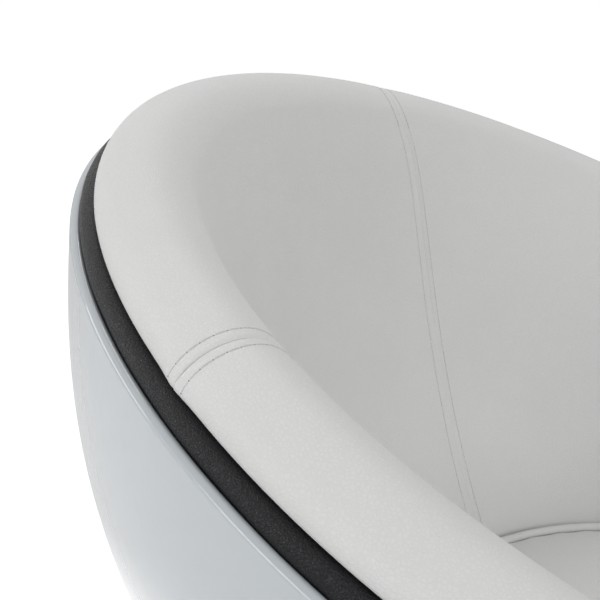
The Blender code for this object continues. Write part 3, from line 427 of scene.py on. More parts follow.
def leather(name, colour, crease_shade, grain, depth, roughness, specular):
    """Pebbled leather: cells with fine creases between them painted darker as painted shade, pores, soft
    folds and a mottled colour.
    """
    finish = Finish(name)
    place = finish.place()
    wandering = finish.warp(place, grain * 0.35, 0.6 / grain)
    pebble = finish.cells(wandering, grain).step(0.0, 0.26)
    small = finish.cells(wandering, grain * 2.3).step(0.0, 0.2)
    pores = finish.noise(place, grain * 3.1, 2.0, 0.6)
    folds = finish.noise(finish.place((1.0, 1.0, 0.55)), 42.0, 3.0, 0.55, 0.6)
    height = pebble * 0.55 + small * 0.2 + pores * 0.25 + folds * 1.6
    blotches = finish.noise(place, 7.0, 3.0, 0.6)
    wear = finish.noise(place, 90.0, 2.0)
    tint = finish.mix(blotches.step(0.3, 0.7), rgb(*colour), darker(colour, 0.965))
    # The creases between the pebbles are mixed towards the crease colour: painted shade in the creases.
    finish.set(Base_Color=finish.mix((1 - pebble) * 0.55, tint, rgb(*crease_shade)),
               Roughness=roughness + (1 - pebble) * 0.08 + (wear - 0.5) * 0.10,
               Normal=finish.bump(height, depth), Specular_IOR_Level=specular)
    return finish.material


def gloss_white():
    """Lacquered moulding: a cool white body, and a clear coat with faint orange peel and rubbed spots."""
    finish = Finish("gloss_white_lacquer")
    place = finish.place()
    peel = finish.noise(place, 150.0, 2.0, 0.4)
    sag = finish.noise(place, 9.0, 1.0, 0.4)
    tone = finish.noise(place, 4.0, 2.0)
    smears = finish.noise(finish.place((1.0, 1.0, 2.5)), 30.0, 4.0, 0.65, 1.5).step(0.52, 0.75)
    finish.set(Base_Color=finish.mix(tone.step(0.3, 0.7), rgb(0.552, 0.589, 0.615),
                                     rgb(0.535, 0.573, 0.602)),
               Roughness=0.10 + smears * 0.05, Normal=finish.bump(peel * 0.25 + sag, 0.00025),
               Coat_Weight=0.8, Coat_Roughness=0.03, IOR=1.5)
    return finish.material


def polished_chrome():
    """Bright plated steel with faint rub marks."""
    finish = Finish("polished_chrome")
    place = finish.place()
    smears = finish.noise(finish.place((1.0, 1.0, 3.0)), 45.0, 4.0, 0.6, 1.0)
    fine = finish.noise(finish.place((1.0, 1.0, 40.0)), 60.0, 2.0)
    finish.set(Base_Color=finish.mix(finish.noise(place, 8.0), rgb(0.80, 0.81, 0.83),
                                     rgb(0.86, 0.865, 0.88)),
               Metallic=1.0, Roughness=0.045 + smears.step(0.5, 0.8) * 0.06 + fine * 0.015)
    return finish.material


def plated_steel(name, colour, roughness):
    """Zinc-plated or ground steel with turned marks and cloudy plating."""
    finish = Finish(name)
    place = finish.place()
    marks = finish.noise(finish.place((1.0, 1.0, 12.0)), 400.0, 2.0)
    clouds = finish.noise(place, 60.0, 3.0)
    finish.set(Base_Color=finish.mix(clouds, rgb(*colour), darker(colour, 0.82)),
               Metallic=1.0, Roughness=roughness + (marks - 0.5) * 0.14,
               Normal=finish.bump(marks, 0.00003))
    return finish.material


def powder_coat():
    """Black powder coat with its fine pimples."""
    finish = Finish("black_powder_coat")
    place = finish.place()
    pimples = finish.noise(place, 1400.0, 2.0, 0.6)
    finish.set(Base_Color=finish.mix(finish.noise(place, 25.0), rgb(0.030, 0.030, 0.032),
                                     rgb(0.045, 0.045, 0.048)),
               Roughness=0.42 + pimples * 0.12, Normal=finish.bump(pimples, 0.00006))
    return finish.material


def moulded(name, colour, roughness, speckle=900.0):
    """Moulded plastic or rubber with a fine eroded texture."""
    finish = Finish(name)
    place = finish.place()
    grain = finish.noise(place, speckle, 3.0, 0.6)
    clouds = finish.noise(place, 18.0, 2.0)
    finish.set(Base_Color=finish.mix(clouds, rgb(*colour), darker(colour, 0.86)),
               Roughness=roughness + (grain - 0.5) * 0.12, Normal=finish.bump(grain, 0.00008))
    return finish.material


def cast_iron():
    """Painted casting with a sand-cast skin."""
    finish = Finish("painted_casting")
    place = finish.place()
    sand = finish.noise(place, 700.0, 4.0, 0.65)
    lumps = finish.noise(place, 90.0, 2.0)
    finish.set(Base_Color=finish.mix(lumps, rgb(0.06, 0.06, 0.065), rgb(0.09, 0.09, 0.095)),
               Metallic=0.3, Roughness=0.58 + sand * 0.2, Normal=finish.bump(sand + lumps, 0.0003))
    return finish.material


def birch_ply():
    """Plywood: long grain on the faces, stacked dark and light plies on the edge."""
    finish = Finish("birch_ply")
    grain = finish.noise(finish.place((6.0, 90.0, 90.0)), 3.0, 4.0, 0.6, 0.8)
    height = finish.node("ShaderNodeSeparateXYZ", None, {0: finish.place()}, output=2)
    plies = (height * (2 * math.pi / 0.0030)).sine().step(-0.2, 0.3)
    wood = finish.mix(grain.step(0.35, 0.7), rgb(0.62, 0.44, 0.26), rgb(0.50, 0.33, 0.18))
    finish.set(Base_Color=finish.mix(plies * 0.35, wood, rgb(0.70, 0.53, 0.34)),
               Roughness=0.58 + grain * 0.1, Normal=finish.bump(grain, 0.0001))
    return finish.material


def thread(name, colour):
    """Waxed thread with its ply twist."""
    finish = Finish(name)
    twist = finish.noise(finish.place(), 2600.0, 2.0, 0.6)
    finish.set(Base_Color=finish.mix(twist.step(0.3, 0.7), rgb(*colour), darker(colour, 0.8)),
               Roughness=0.55 + twist * 0.1, Normal=finish.bump(twist, 0.0001))
    return finish.material


# The second colour of each leather is the painted shade in its creases.
WHITE_LEATHER = leather("white_leather_grain", (0.775, 0.777, 0.770), (0.71, 0.709, 0.70),
                        grain=560.0, depth=0.00013, roughness=0.50, specular=0.42)
BLACK_LEATHER = leather("black_leather_grain", (0.0070, 0.0073, 0.0095), (0.003, 0.003, 0.004),
                        grain=620.0, depth=0.00030, roughness=0.27, specular=0.26)
GLOSS_WHITE = gloss_white()
CHROME = polished_chrome()
ZINC = plated_steel("zinc_plated_steel", (0.62, 0.63, 0.64), 0.32)
BRASS = plated_steel("turned_brass", (0.78, 0.60, 0.28), 0.28)
POWDER = powder_coat()
LINER = moulded("grey_moulded_liner", (0.30, 0.30, 0.31), 0.6)
NYLON = moulded("natural_nylon", (0.80, 0.79, 0.74), 0.42)
RUBBER = moulded("foot_rubber", (0.025, 0.025, 0.026), 0.75, 1600.0)
IRON = cast_iron()
PLY = birch_ply()
# The same thread in two colours: the roll's is painted darker as the shade of its groove, the wall's is
# nearly the leather's colour.
SHADED_THREAD = thread("pale_thread", (0.65, 0.64, 0.625))
WALL_THREAD = thread("pale_thread_on_the_wall", (0.78, 0.775, 0.76))
# The needle holes are coloured as painted shade: dark on the roll, paler on the wall.
HOLE_SHADE = moulded("needle_hole_shadow", (0.30, 0.295, 0.29), 0.8, 2000.0)
WALL_HOLE_SHADE = moulded("shallow_needle_hole_shade", (0.58, 0.575, 0.565), 0.8, 2000.0)
FINISHES = {
    "gloss_shell": GLOSS_WHITE, "moulded_liner": LINER, "black_leather": BLACK_LEATHER,
    "white_leather": WHITE_LEATHER, "plywood": PLY, "zinc_steel": ZINC, "black_steel": POWDER,
    "chrome": CHROME, "brass": BRASS, "nylon": NYLON, "cast_iron": IRON, "rubber": RUBBER,
}


# ---------------------------------------------------------------- bowl and piping

def bowl_layer(inset, low_radius, low_height, top_polar, rows, columns):
    """Points of a bowl layer from its foot ring up to its lip.

    Each column runs along the great circle from a point of the level foot ring to the point of the lip
    at the same angle: sin((1 - t) w) a + sin(t w) b over sin w. The flare is then added.
    """
    turn = full_turn(columns)
    radius = SHELL_RADIUS - inset
    foot = to_rim_direction(unit(rim_ring(turn, low_radius, low_height)))
    lip = rim_ring(turn, math.sin(top_polar), -math.cos(top_polar))
    angle = np.arccos(np.clip((foot * lip).sum(-1), -1, 1))[None, :, None]
    share = (1 - (1 - np.linspace(0.0, 1.0, rows)) ** 1.25)[:, None, None]
    direction = (np.sin((1 - share) * angle) * foot + np.sin(share * angle) * lip) / np.sin(angle)
    points = direction * radius + np.array([0.0, 0.0, RIM_DROP])
    across = np.linalg.norm(direction[..., :2], axis=-1, keepdims=True)
    outward = direction[..., :2] / np.maximum(across, 1e-9)
    points[..., :2] += outward * flare(points[..., 2:3]) * across
    return to_chair(points)


def bezier(t, a, b, c, d):
    """Points of a cubic Bezier curve: (1-t)^3 a + 3 (1-t)^2 t b + 3 (1-t) t^2 c + t^3 d."""
    return (1 - t) ** 3 * a + 3 * (1 - t) ** 2 * t * b + 3 * (1 - t) * t ** 2 * c + t ** 3 * d


def make_bowl():
    """The glossy shell: outer layer, rounded lip, inner layer, and a narrow ring that joins them below.

    The foot is open inside that ring, over the mounting plate. The lip is two cubic curves: a tight
    shoulder off the outer wall, then a gently rising top that runs under the piping and turns down into
    the inner wall.
    """
    columns, rows = 320, 64
    outer = bowl_layer(0.0, FLAT_RADIUS, -SPHERE_DROP, LIP_POLAR, rows, columns)
    inner_drop = math.sqrt((SHELL_RADIUS - SHELL_WALL) ** 2 - INNER_FLAT_RADIUS ** 2)
    inner = bowl_layer(SHELL_WALL, INNER_FLAT_RADIUS, -inner_drop, LIP_POLAR, 20, columns)[::-1]
    shoulder = LIP_OUTER + LIP_SHOULDER
    rise = bezier(np.linspace(0.0, 1.0, 15)[1:, None], LIP_OUTER, LIP_OUTER + SHOULDER_PULLS[0],
                  shoulder + SHOULDER_PULLS[1], shoulder)
    top = bezier(np.linspace(0.0, 1.0, 13)[1:-1, None], shoulder, shoulder + LIP_TOP_PULLS[0],
                 LIP_INNER + LIP_TOP_PULLS[1], LIP_INNER)
    section = np.concatenate([rise, top])
    lip = to_chair(rim_ring(full_turn(columns)[None, :], section[:, :1], section[:, 1:]))
    grid = np.concatenate([outer, lip, inner])
    faces = grid_faces(grid.shape[0], columns, wrap_rows=True, wrap_columns=True)
    bowl = make_piece("gloss_bowl", grid, [faces], [GLOSS_WHITE], sharp=50.0)
    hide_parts("shell")


def make_piping():
    """The leather piping: a tube round the rim whose radius swells and shrinks by a few hundredths."""
    columns, sides = 640, 20
    turn = full_turn(columns)[None, :]
    side = full_turn(sides)[:, None]
    swell = 1 + 0.012 * np.sin(23 * turn + 1.0) + 0.009 * np.sin(41 * turn + 2 * side)
    radius = PIPING_RADIUS * swell
    points = rim_ring(turn, PIPING_CIRCLE + radius * np.cos(side), PIPING_Z + radius * np.sin(side))
    faces = grid_faces(sides, columns, wrap_rows=True, wrap_columns=True)
    piping = make_piece("black_piping", to_chair(points), [faces], [BLACK_LEATHER])
    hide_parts("rim_piping")


# ---------------------------------------------------------------- padded lining

def roll_end(angle):
    """The turn at which the roll passes into the wall: pi less its lean, which is most at the back."""
    return math.pi - WALL_LEAN - WALL_LEAN_CHANGE * np.cos(angle)


def aside(angle):
    """How much a path drifts aside at an angle off the back: 2.9 sin a times cos a squared, or none."""
    return 2.9 * np.sin(angle) * np.maximum(np.cos(angle), 0.0) ** 2


def roll_line(angle, share):
    """The roll: a circle about the rim circle, from the crease at the piping over to the wall.

    Below a turn of 40 degrees its radius shrinks by the square of the way left to the crease. Late on the
    roll the angle drifts aside by the square of the way towards the wall.
    """
    moved = angle + SEAM_DRIFT[0] * aside(angle)
    turn = CREASE_ANGLE + (roll_end(moved) - CREASE_ANGLE) * share
    late = np.clip((turn - SEAM_DRIFT_START) / (roll_end(moved) - SEAM_DRIFT_START), 0, None)
    tuck = np.clip((TUCK_START - turn) / (TUCK_START - CREASE_ANGLE), 0, None)
    radius = ROLL_RADIUS * (1.0 - CREASE_TUCK * tuck ** 2)
    return rim_ring(angle + (moved - angle) * late ** 2, ROLL_CIRCLE + radius * np.cos(turn),
                    ROLL_Z + radius * np.sin(turn))


def wall_foot(angle):
    """The wall's end beside the cushion, the edge of the hole under it, and the wall's way down there.

    The first two are on a sphere about the wall's centre and are given from that centre.
    """
    turn = np.arctan2(np.sin(angle), np.cos(angle) * math.cos(RIM_TILT))
    x, y = WALL_FOOT_RADIUS * np.sin(turn), WALL_FOOT_RADIUS * np.cos(turn)
    z = -math.sqrt(WALL_RADIUS ** 2 - WALL_FOOT_RADIUS ** 2)
    foot = leaned(np.stack([x, y, z + 0 * x], axis=-1), -CUSHION_TILT)
    x, y = HOLE_RADIUS * np.sin(turn), HOLE_RADIUS * np.cos(turn) - WALL_CENTRE[1]
    edge = np.stack([x, y, -np.sqrt(WALL_RADIUS ** 2 - x ** 2 - y ** 2)], axis=-1)
    down = np.stack([-np.sin(turn) * math.sin(WALL_FOOT_LEAN), -np.cos(turn) * math.sin(WALL_FOOT_LEAN),
                     -math.cos(WALL_FOOT_LEAN) + 0 * turn], axis=-1)
    return to_rim_direction(foot), to_rim_direction(edge), to_rim_direction(down)


def wall_line(angle, share):
    """The wall: a cubic Bezier curve off the roll down to the cushion's side, then a sphere to the hole.

    Its first pull carries on the roll's circle and its last follows the lean at the foot. The angle drifts
    aside by a first step, plus a rise that fades in by 1 - exp(-share / fade), less a steady return.
    """
    angle, share = np.broadcast_arrays(np.asarray(angle, dtype=float), share)
    t = np.minimum(share / FOOT_SHARE, 1.0)
    rise = SEAM_DRIFT[1] * (1 - np.exp(-t / SEAM_DRIFT_FADE)) - SEAM_DRIFT[2] * t
    angle = angle + (SEAM_DRIFT[0] + rise) * aside(angle)
    centre = np.array([0.0, 0.0, ROLL_Z])
    foot, edge, down = wall_foot(angle)
    end = roll_end(angle)
    first = rim_ring(angle, ROLL_CIRCLE + ROLL_RADIUS * np.cos(end), ROLL_Z + ROLL_RADIUS * np.sin(end))
    along = rim_ring(angle, -np.sin(end), np.cos(end))
    last = centre + foot
    length = np.linalg.norm(last - first, axis=-1, keepdims=True)
    curve = bezier(t[..., None], first, first + along * length * WALL_TOP_PULL,
                   last - down * length * WALL_FOOT_PULL, last)
    late = (np.maximum(share - FOOT_SHARE, 0.0) / (1 - FOOT_SHARE))[..., None]
    under = centre + unit(foot * (1 - late) + edge * late) * WALL_RADIUS
    return np.where(late > 0, under, curve)


def lining_line(angle, share):
    """The lining's visible surface: the roll for the first fifth of the way, then the wall."""
    angle, share = np.broadcast_arrays(angle, share)
    on_roll = (share <= ROLL_SHARE)[..., None]
    roll = roll_line(angle, np.minimum(share, ROLL_SHARE) / ROLL_SHARE)
    wall = wall_line(angle, np.clip((share - ROLL_SHARE) / (1 - ROLL_SHARE), 0, 1))
    return np.where(on_roll, roll, wall)


def waves(grid, scale, seed):
    """Smooth noise from -1 to 1: products of sines along three slanting directions."""
    rng = np.random.default_rng(seed)
    total = np.zeros(grid.shape[:-1])
    for _ in range(6):
        direction = rng.normal(size=3)
        direction /= np.linalg.norm(direction)
        other = np.cross(direction, rng.normal(size=3))
        phase = rng.uniform(0, 6.28, 2)
        total += (np.sin(grid @ direction * scale + phase[0])
                  * np.sin(grid @ other * scale * 0.8 + phase[1]))
    return total / 6


def panel_grid(first, last):
    """Places on a panel: rows down from the piping, columns across, at set distances from its seams.

    Near a seam the columns keep their distances in millimetres, and the middle ones share what is left.
    """
    near = np.array(SEAM_COLUMNS) / 1000
    middle = np.linspace(0.0, 1.0, 58)[1:-1]
    rows = np.concatenate([np.linspace(0.0, ROLL_SHARE, 50),
                           ROLL_SHARE + (1 - ROLL_SHARE) * np.linspace(0.0, 1.0, 101)[1:]])
    fine = np.linspace(first, last, 241)
    line = lining_line(fine[None, :], rows[:, None])
    steps = np.linalg.norm(np.diff(line, axis=1), axis=-1)
    reach = np.concatenate([np.zeros((len(rows), 1)), np.cumsum(steps, axis=1)], axis=1)
    width = reach[:, -1:]
    left = np.broadcast_to(near, (len(rows), len(near)))
    gap = width - 2 * near[-1]
    places = np.concatenate([left, near[-1] + gap * middle, width - left[:, ::-1]], axis=1)
    angles = np.stack([np.interp(p, r, fine) for p, r in zip(places, reach)])
    return angles, rows, places, width


def panel_relief(places, width, grid, rows, seed):
    """How far the leather stands out, in metres.

    It dips in a narrow valley at the seam, in a wide hollow round it and in a groove under each row of
    stitches, puffs up between seam and stitches, bulges over the piping beside the seam, and rolls in long
    soft waves. Down the wall the valley turns into a low ridge between wider and softer grooves. All but
    the bulge fall to a quarter at the panel's upper and lower edges.
    """
    x = np.minimum(places, width - places)
    tight = (0.5 + 0.5 * np.cos(math.pi * np.clip(rows / ROLL_SHARE - 0.45, 0, 1)))[:, None]
    loose = 1 - tight
    away = x - STITCH_OFFSET
    valley = RIDGE_HEIGHT * loose * bell(x, RIDGE_WIDTH) - VALLEY_DEPTH * tight * bell(x, VALLEY_WIDTH)
    hollow = -(HOLLOW_DEPTH + HOLLOW_ON_ROLL * tight) * bell(x, HOLLOW_WIDTH)
    groove = -GROOVE_DEPTH * (tight * bell(away, GROOVE_WIDTH) + loose * bell(away, LOOSE_GROOVE_WIDTH))
    puff = PUFF_HEIGHT * tight * bell(x - PUFF_PLACE, PUFF_WIDTH)
    bulge = BULGE_HEIGHT * bell(x, BULGE_WIDTH) * bell(rows[:, None], 0.018)
    soft = 0.00035 * waves(grid, 26.0, seed) + 0.00010 * waves(grid, 75.0, seed + 1)
    edge = 0.25 + 0.75 * np.clip(np.minimum(rows, 1 - rows) / 0.03, 0, 1)[:, None]
    return (valley + hollow + groove + puff + soft) * edge + bulge


def wall_back(angle, share):
    """The lining's hidden back: where a ray from the wall's centre through it meets the liner's sphere."""
    line = unit(wall_line(angle, share) - np.array([0.0, 0.0, ROLL_Z]))
    offset = np.array([0.0, 0.0, ROLL_Z - RIM_DROP])
    along = (line * offset).sum(-1, keepdims=True)
    radius = SHELL_RADIUS - SHELL_WALL - LINER_THICKNESS
    run = -along + np.sqrt(along ** 2 - (offset ** 2).sum() + radius ** 2)
    return line * run + np.array([0.0, 0.0, ROLL_Z])


def make_panel(name, node, first, last, seed):
    """One leather panel, a closed padded form, and its two rows of needle places."""
    angles, rows, places, width = panel_grid(first, last)
    grid = lining_line(angles, rows[:, None])
    normal = grid_normals(grid)
    inside = np.array([0.0, 0.0, ROLL_Z + 0.02]) - grid
    roll_rows = rows <= ROLL_SHARE
    circle = rim_ring(angles, ROLL_CIRCLE, ROLL_Z)
    outward = np.where(roll_rows[:, None, None], grid - circle, inside)
    normal *= np.sign((normal * outward).sum(-1, keepdims=True))
    front = grid + normal * panel_relief(places, width, grid, rows, seed)[..., None]
    columns = angles.shape[1]
    back_rows = [wall_back(angles[-1:], np.full((1, 1), share)) for share in np.linspace(1.0, 0.2, 8)]
    hold = PIPING_RADIUS + PIPING_GAP
    groove = [rim_ring(angles[:1], PIPING_CIRCLE + hold * math.cos(t), PIPING_Z + hold * math.sin(t))
              for t in np.radians(np.linspace(228, 95, 7))]
    top_back = rim_ring(angles[:1], *(LIP_INNER + BACK_EDGE))
    back = np.concatenate(back_rows + [top_back] + groove)
    loop = np.concatenate([front, back])
    faces = grid_faces(loop.shape[0], columns, wrap_rows=True)
    ring = np.arange(loop.shape[0]) * columns
    caps = np.stack([ring, (ring + columns - 1)[::-1]])
    panel = make_piece(name, to_chair(loop), [faces, caps], [WHITE_LEATHER], sharp=70.0)
    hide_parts(node)
    chair, out = to_chair(front), leaned(normal, RIM_TILT)
    return [(chair[:, column], out[:, column]) for column in (STITCH_COLUMN, -1 - STITCH_COLUMN)]


def along_line(line, values, at):
    """Values on a polyline, read at lengths along it."""
    reach = np.concatenate([[0.0], np.cumsum(np.linalg.norm(np.diff(line, axis=0), axis=1))])
    return np.stack([np.interp(at, reach, values[:, k]) for k in range(3)], axis=1)


def line_length(line):
    """The length of a polyline."""
    return float(np.linalg.norm(np.diff(line, axis=0), axis=1).sum())


def square_to(vectors, other):
    """What vectors have square to unit vectors, at a length of 1."""
    return unit(vectors - (vectors * other).sum(-1, keepdims=True) * other)


def circles(first, second, sides):
    """A unit circle for each pair of vectors: the first times cos t, plus the second times sin t."""
    turn = full_turn(sides)[:, None]
    return first[:, None, None] * np.cos(turn) + second[:, None, None] * np.sin(turn)


def thread_tubes(start, end, up, radius, sides):
    """Stitches from start to end: a tube whose height over the leather is r (1.1 (1 - t^4) - 0.75).

    t runs from -1 to 1 along the stitch, and the tube thins to a quarter at its ends.
    """
    ahead = unit(end - start)
    up = square_to(up, ahead)
    t = np.array([-1.0, -0.94, -0.75, -0.4, 0.0, 0.4, 0.75, 0.94, 1.0])
    lift = radius * (1.1 * (1 - t ** 4) - 0.75)
    thick = radius * np.array([0.25, 0.8, 1.0, 1.0, 1.0, 1.0, 1.0, 0.8, 0.25])
    centre = (start + end)[:, None] / 2 + (end - start)[:, None] / 2 * t[None, :, None]
    centre = centre + up[:, None] * lift[None, :, None]
    around = circles(np.cross(ahead, up), up, sides)
    return centre[:, :, None] + around * thick[None, :, None, None]


def needle_buttons(place, up, ahead, sides):
    """Dimples at the needle holes, whose dark colour is painted shade: low cones of three rings, wide and
    sunk to narrow and level.
    """
    up = unit(up)
    ahead = square_to(ahead, up)
    ring = np.array(HOLE_RADII)[None, :, None, None]
    rise = np.array(HOLE_HEIGHTS)[None, :, None, None]
    around = circles(ahead, np.cross(ahead, up), sides)
    return place[:, None, None] + up[:, None, None] * rise + around * ring


def repeated_faces(count, rings, sides):
    """Faces of many capped tubes that are numbered one after the other."""
    body = grid_faces(rings, sides, wrap_columns=True)
    cap = np.stack([np.arange(sides)[::-1], np.arange(sides) + (rings - 1) * sides])
    shift = (np.arange(count) * rings * sides)[:, None, None]
    return (body[None] + shift).reshape(-1, 4), (cap[None] + shift).reshape(-1, sides)


def make_repeated(name, tubes, finishes, second):
    """Many capped tubes as one piece, where those marked second take the second finish."""
    count, rings, sides = tubes.shape[:3]
    body, cap = repeated_faces(count, rings, sides)
    second = np.asarray(second, dtype=int)
    finish_of = np.concatenate([np.repeat(second, len(body) // count), np.repeat(second, 2)])
    return make_piece(name, tubes, (body, cap), finishes, face_finish=finish_of)


def make_stitches(lines):
    """Rows of stitches that share their needle holes, one hole at each end of a stitch.

    Those past the roll's length from the piping are on the wall, with paler thread and holes: on the roll
    the darker thread and the dark holes are painted shade of the groove and the holes, and on the wall that
    painted shade is fainter.
    """
    starts, ends, ups, late, holes, hole_ups, ways, low = [], [], [], [], [], [], [], []
    for line, normal in lines:
        joints = np.arange(STITCH_START, line_length(line) - STITCH_END, STITCH_PITCH)
        low.append(joints > ROLL_STITCHES)
        late.append(low[-1][1:])
        place, up = along_line(line, line, joints), along_line(line, normal, joints)
        step = place[1:] - place[:-1]
        trim = STITCH_TRIM * unit(step)
        starts.append(place[:-1] + trim)
        ends.append(place[1:] - trim)
        ups.append((up[1:] + up[:-1]) / 2)
        holes.append(place)
        hole_ups.append(up)
        ways.append(np.concatenate([step, step[-1:]]))
    tubes = thread_tubes(np.concatenate(starts), np.concatenate(ends), np.concatenate(ups), THREAD_RADIUS, 6)
    # The roll's stitches take the thread painted darker as shade, those on the wall the paler one.
    stitches = make_repeated("topstitching", tubes, [SHADED_THREAD, WALL_THREAD], np.concatenate(late))
    dimples = needle_buttons(np.concatenate(holes), np.concatenate(hole_ups), np.concatenate(ways), 8)
    # The holes take a dark colour as painted shade, fainter on the wall.
    piece = make_repeated("needle_holes_with_painted_shade", dimples, [HOLE_SHADE, WALL_HOLE_SHADE], np.concatenate(low))


def make_lining():
    """The four leather panels between their seams, and the rows of stitches beside each seam."""
    seams = [-SEAM_ANGLE, SEAM_ANGLE, math.pi - SEAM_ANGLE, math.pi + SEAM_ANGLE,
             2 * math.pi - SEAM_ANGLE]
    names = [("back_panel", "back_pad"), ("left_arm_panel", "left_arm_pad"),
             ("front_panel", "front_pad"), ("right_arm_panel", "right_arm_pad")]
    lines = []
    for number, (name, node) in enumerate(names):
        lines += make_panel(name, node, seams[number], seams[number + 1], 11 + 7 * number)
    make_stitches(lines)


# ---------------------------------------------------------------- seat cushion

def to_cushion(points):
    """Lean cushion points back by its tilt and move them to the wall's centre."""
    return leaned(points, -CUSHION_TILT) + WALL_CENTRE


def make_cushion():
    """The round cushion: a crowned top, a side that pulls in under the welt, and a rounded foot."""
    columns = 200
    turn = full_turn(columns)[None, :]
    share = np.linspace(0.02, 1.0, 60)[:, None]
    pucker = PUCKER_HEIGHT * bell(1 - share, 0.06) * np.sin(46 * turn + 0.8 * np.sin(5 * turn))
    crown = CUSHION_CROWN * (1 - share ** 2.6) + pucker - 0.0012 * bell(1 - share, 0.015)
    sag = 0.0009 * np.sin(3 * turn + 1) * np.sin(math.pi * share)
    top = round_points(share * CUSHION_RADIUS, turn, CUSHION_EDGE_Z + crown + sag)
    drop = np.linspace(0.1, 1.0, 10)[:, None]
    band = round_points(CUSHION_RADIUS - CUSHION_TUCK * np.sin(drop * math.pi / 2), turn,
                        CUSHION_EDGE_Z - CUSHION_SIDE * 0.62 * drop)
    low = np.linspace(CUSHION_RADIUS - 0.008, CUSHION_LOW_RADIUS, 14)[:, None]
    foot = round_points(low, turn, 0.0003 - np.sqrt((WALL_RADIUS - 0.0022) ** 2 - low ** 2))
    upper = to_cushion(np.concatenate([top, band, foot]))
    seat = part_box("seat_cushion")[0][2]
    base = round_points(CUSHION_FOOT_RADIUS, turn, seat)
    grid = np.concatenate([upper, base])
    faces = grid_faces(grid.shape[0], columns, wrap_columns=True)
    ring = np.arange(columns)
    caps = np.stack([ring[::-1], ring + (grid.shape[0] - 1) * columns])
    cushion = make_piece("leather_seat_cushion", grid, [faces, caps], [WHITE_LEATHER], sharp=60.0)
    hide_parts("seat_cushion")


def make_welt():
    """The cushion's welt: a tube round its edge whose radius swells and shrinks by a fiftieth."""
    sides, columns = 14, 360
    turn = full_turn(columns)[None, :]
    side = full_turn(sides)[:, None]
    thick = WELT_RADIUS * (1 + 0.02 * np.sin(60 * turn))
    ring = CUSHION_RADIUS + WELT_RADIUS + WELT_GAP + thick * np.cos(side)
    points = round_points(ring, turn, CUSHION_EDGE_Z + thick * np.sin(side))
    faces = grid_faces(sides, columns, wrap_rows=True, wrap_columns=True)
    welt = make_piece("cushion_edge_welt", to_cushion(points), [faces], [WHITE_LEATHER])
    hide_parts("cushion_welt")


# ---------------------------------------------------------------- column and foot

def make_pedestal():
    """Column, cover, neck ring, spun foot and floor pad, turned finely from the model's own sizes.

    The foot's height over its edge is the rise times the 3.2th power of the way in from its rim.
    """
    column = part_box("column")
    top, bottom = column[1][2], column[0][2]
    flange = column[1][0]
    fillet, chamfer = 0.004, 0.0006
    tube = [(TUBE_BORE, bottom), (flange, bottom), (flange, bottom + FLANGE_THICKNESS)]
    tube += arc((TUBE_RADIUS + fillet, bottom + FLANGE_THICKNESS + fillet), (fillet, fillet),
                270, 180, 5).tolist()
    tube += [(TUBE_RADIUS, top - chamfer), (TUBE_RADIUS - chamfer, top), (TUBE_BORE, top)]
    piece = turn_piece("chrome_column", tube, CHROME, "base")
    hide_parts("column")

    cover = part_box("bearing_cover")
    high, low, wide = cover[1][2], cover[0][2], cover[1][0]
    hole, corner = 0.0223, 0.003
    cup = [(hole, high), (hole, high - SHEET), (wide - SHEET, high - SHEET), (wide - SHEET, low),
           (wide - BEVEL, low), (wide, low + BEVEL)]
    cup += arc((wide - corner, high - corner), (corner, corner), 0, 90, 9).tolist()
    piece = turn_piece("chrome_bearing_cover", cup, CHROME, "seat")
    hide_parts("bearing_cover")

    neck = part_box("neck_ring")
    high, low = neck[1][2], neck[0][2]
    half = (high - low) / 2
    bead = [(SLEEVE_RADIUS, low)] + arc((SLEEVE_RADIUS, low + half), (0.006, half), -78, 78, 25).tolist()
    piece = turn_piece("chrome_neck_ring", bead + [(SLEEVE_RADIUS, high)], CHROME, "base")
    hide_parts("neck_ring")

    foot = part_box("base_disc")
    wide, low, high = foot[1][0], foot[0][2], foot[1][2]
    edge, corner, power = 0.016, 0.005, 3.2
    rise, span = high - edge, wide - SLEEVE_RADIUS
    radii = SLEEVE_RADIUS + (span - corner) * np.linspace(0.0, 1.0, 60) ** 1.4
    share = (wide - radii) / span
    height = edge + rise * share ** power
    slope = power * rise * share ** (power - 1) / span
    dish = np.stack([radii, height], axis=1).tolist()
    dish += arc((wide - corner, edge - corner), (corner, corner), 80, 0, 9).tolist()
    dish += [(wide, low + BEVEL), (wide - BEVEL, low), (wide - SHEET, low), (wide - SHEET, edge - corner)]
    dish += np.stack([radii, height - SHEET * np.hypot(1.0, slope)], axis=1)[::-3].tolist()
    piece = turn_piece("spun_chrome_foot", dish, CHROME, "base", 256, 40.0)
    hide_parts("base_disc")

    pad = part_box("floor_pad")
    wide = pad[1][0]
    hole, thick, corner = 0.004, 0.003, 0.0005
    ring = [(hole, 0.0), (wide - corner, 0.0), (wide, corner), (wide, thick - corner),
            (wide - corner, thick), (hole, thick)]
    piece = turn_piece("rubber_floor_pad", ring, RUBBER, "base", 200)
    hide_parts("floor_pad")


def finish_inner_parts():
    """Give each carried-over node the finish of its slot."""
    slots = {part["node"]: part["material_slot"] for part in frame["record"]["subparts"]}
    for name, node in NODES.items():
        if node.hide_render:
            continue
        node.data.materials.clear()
        node.data.materials.append(FINISHES[slots[name]])


# ---------------------------------------------------------------- stage, lights and camera

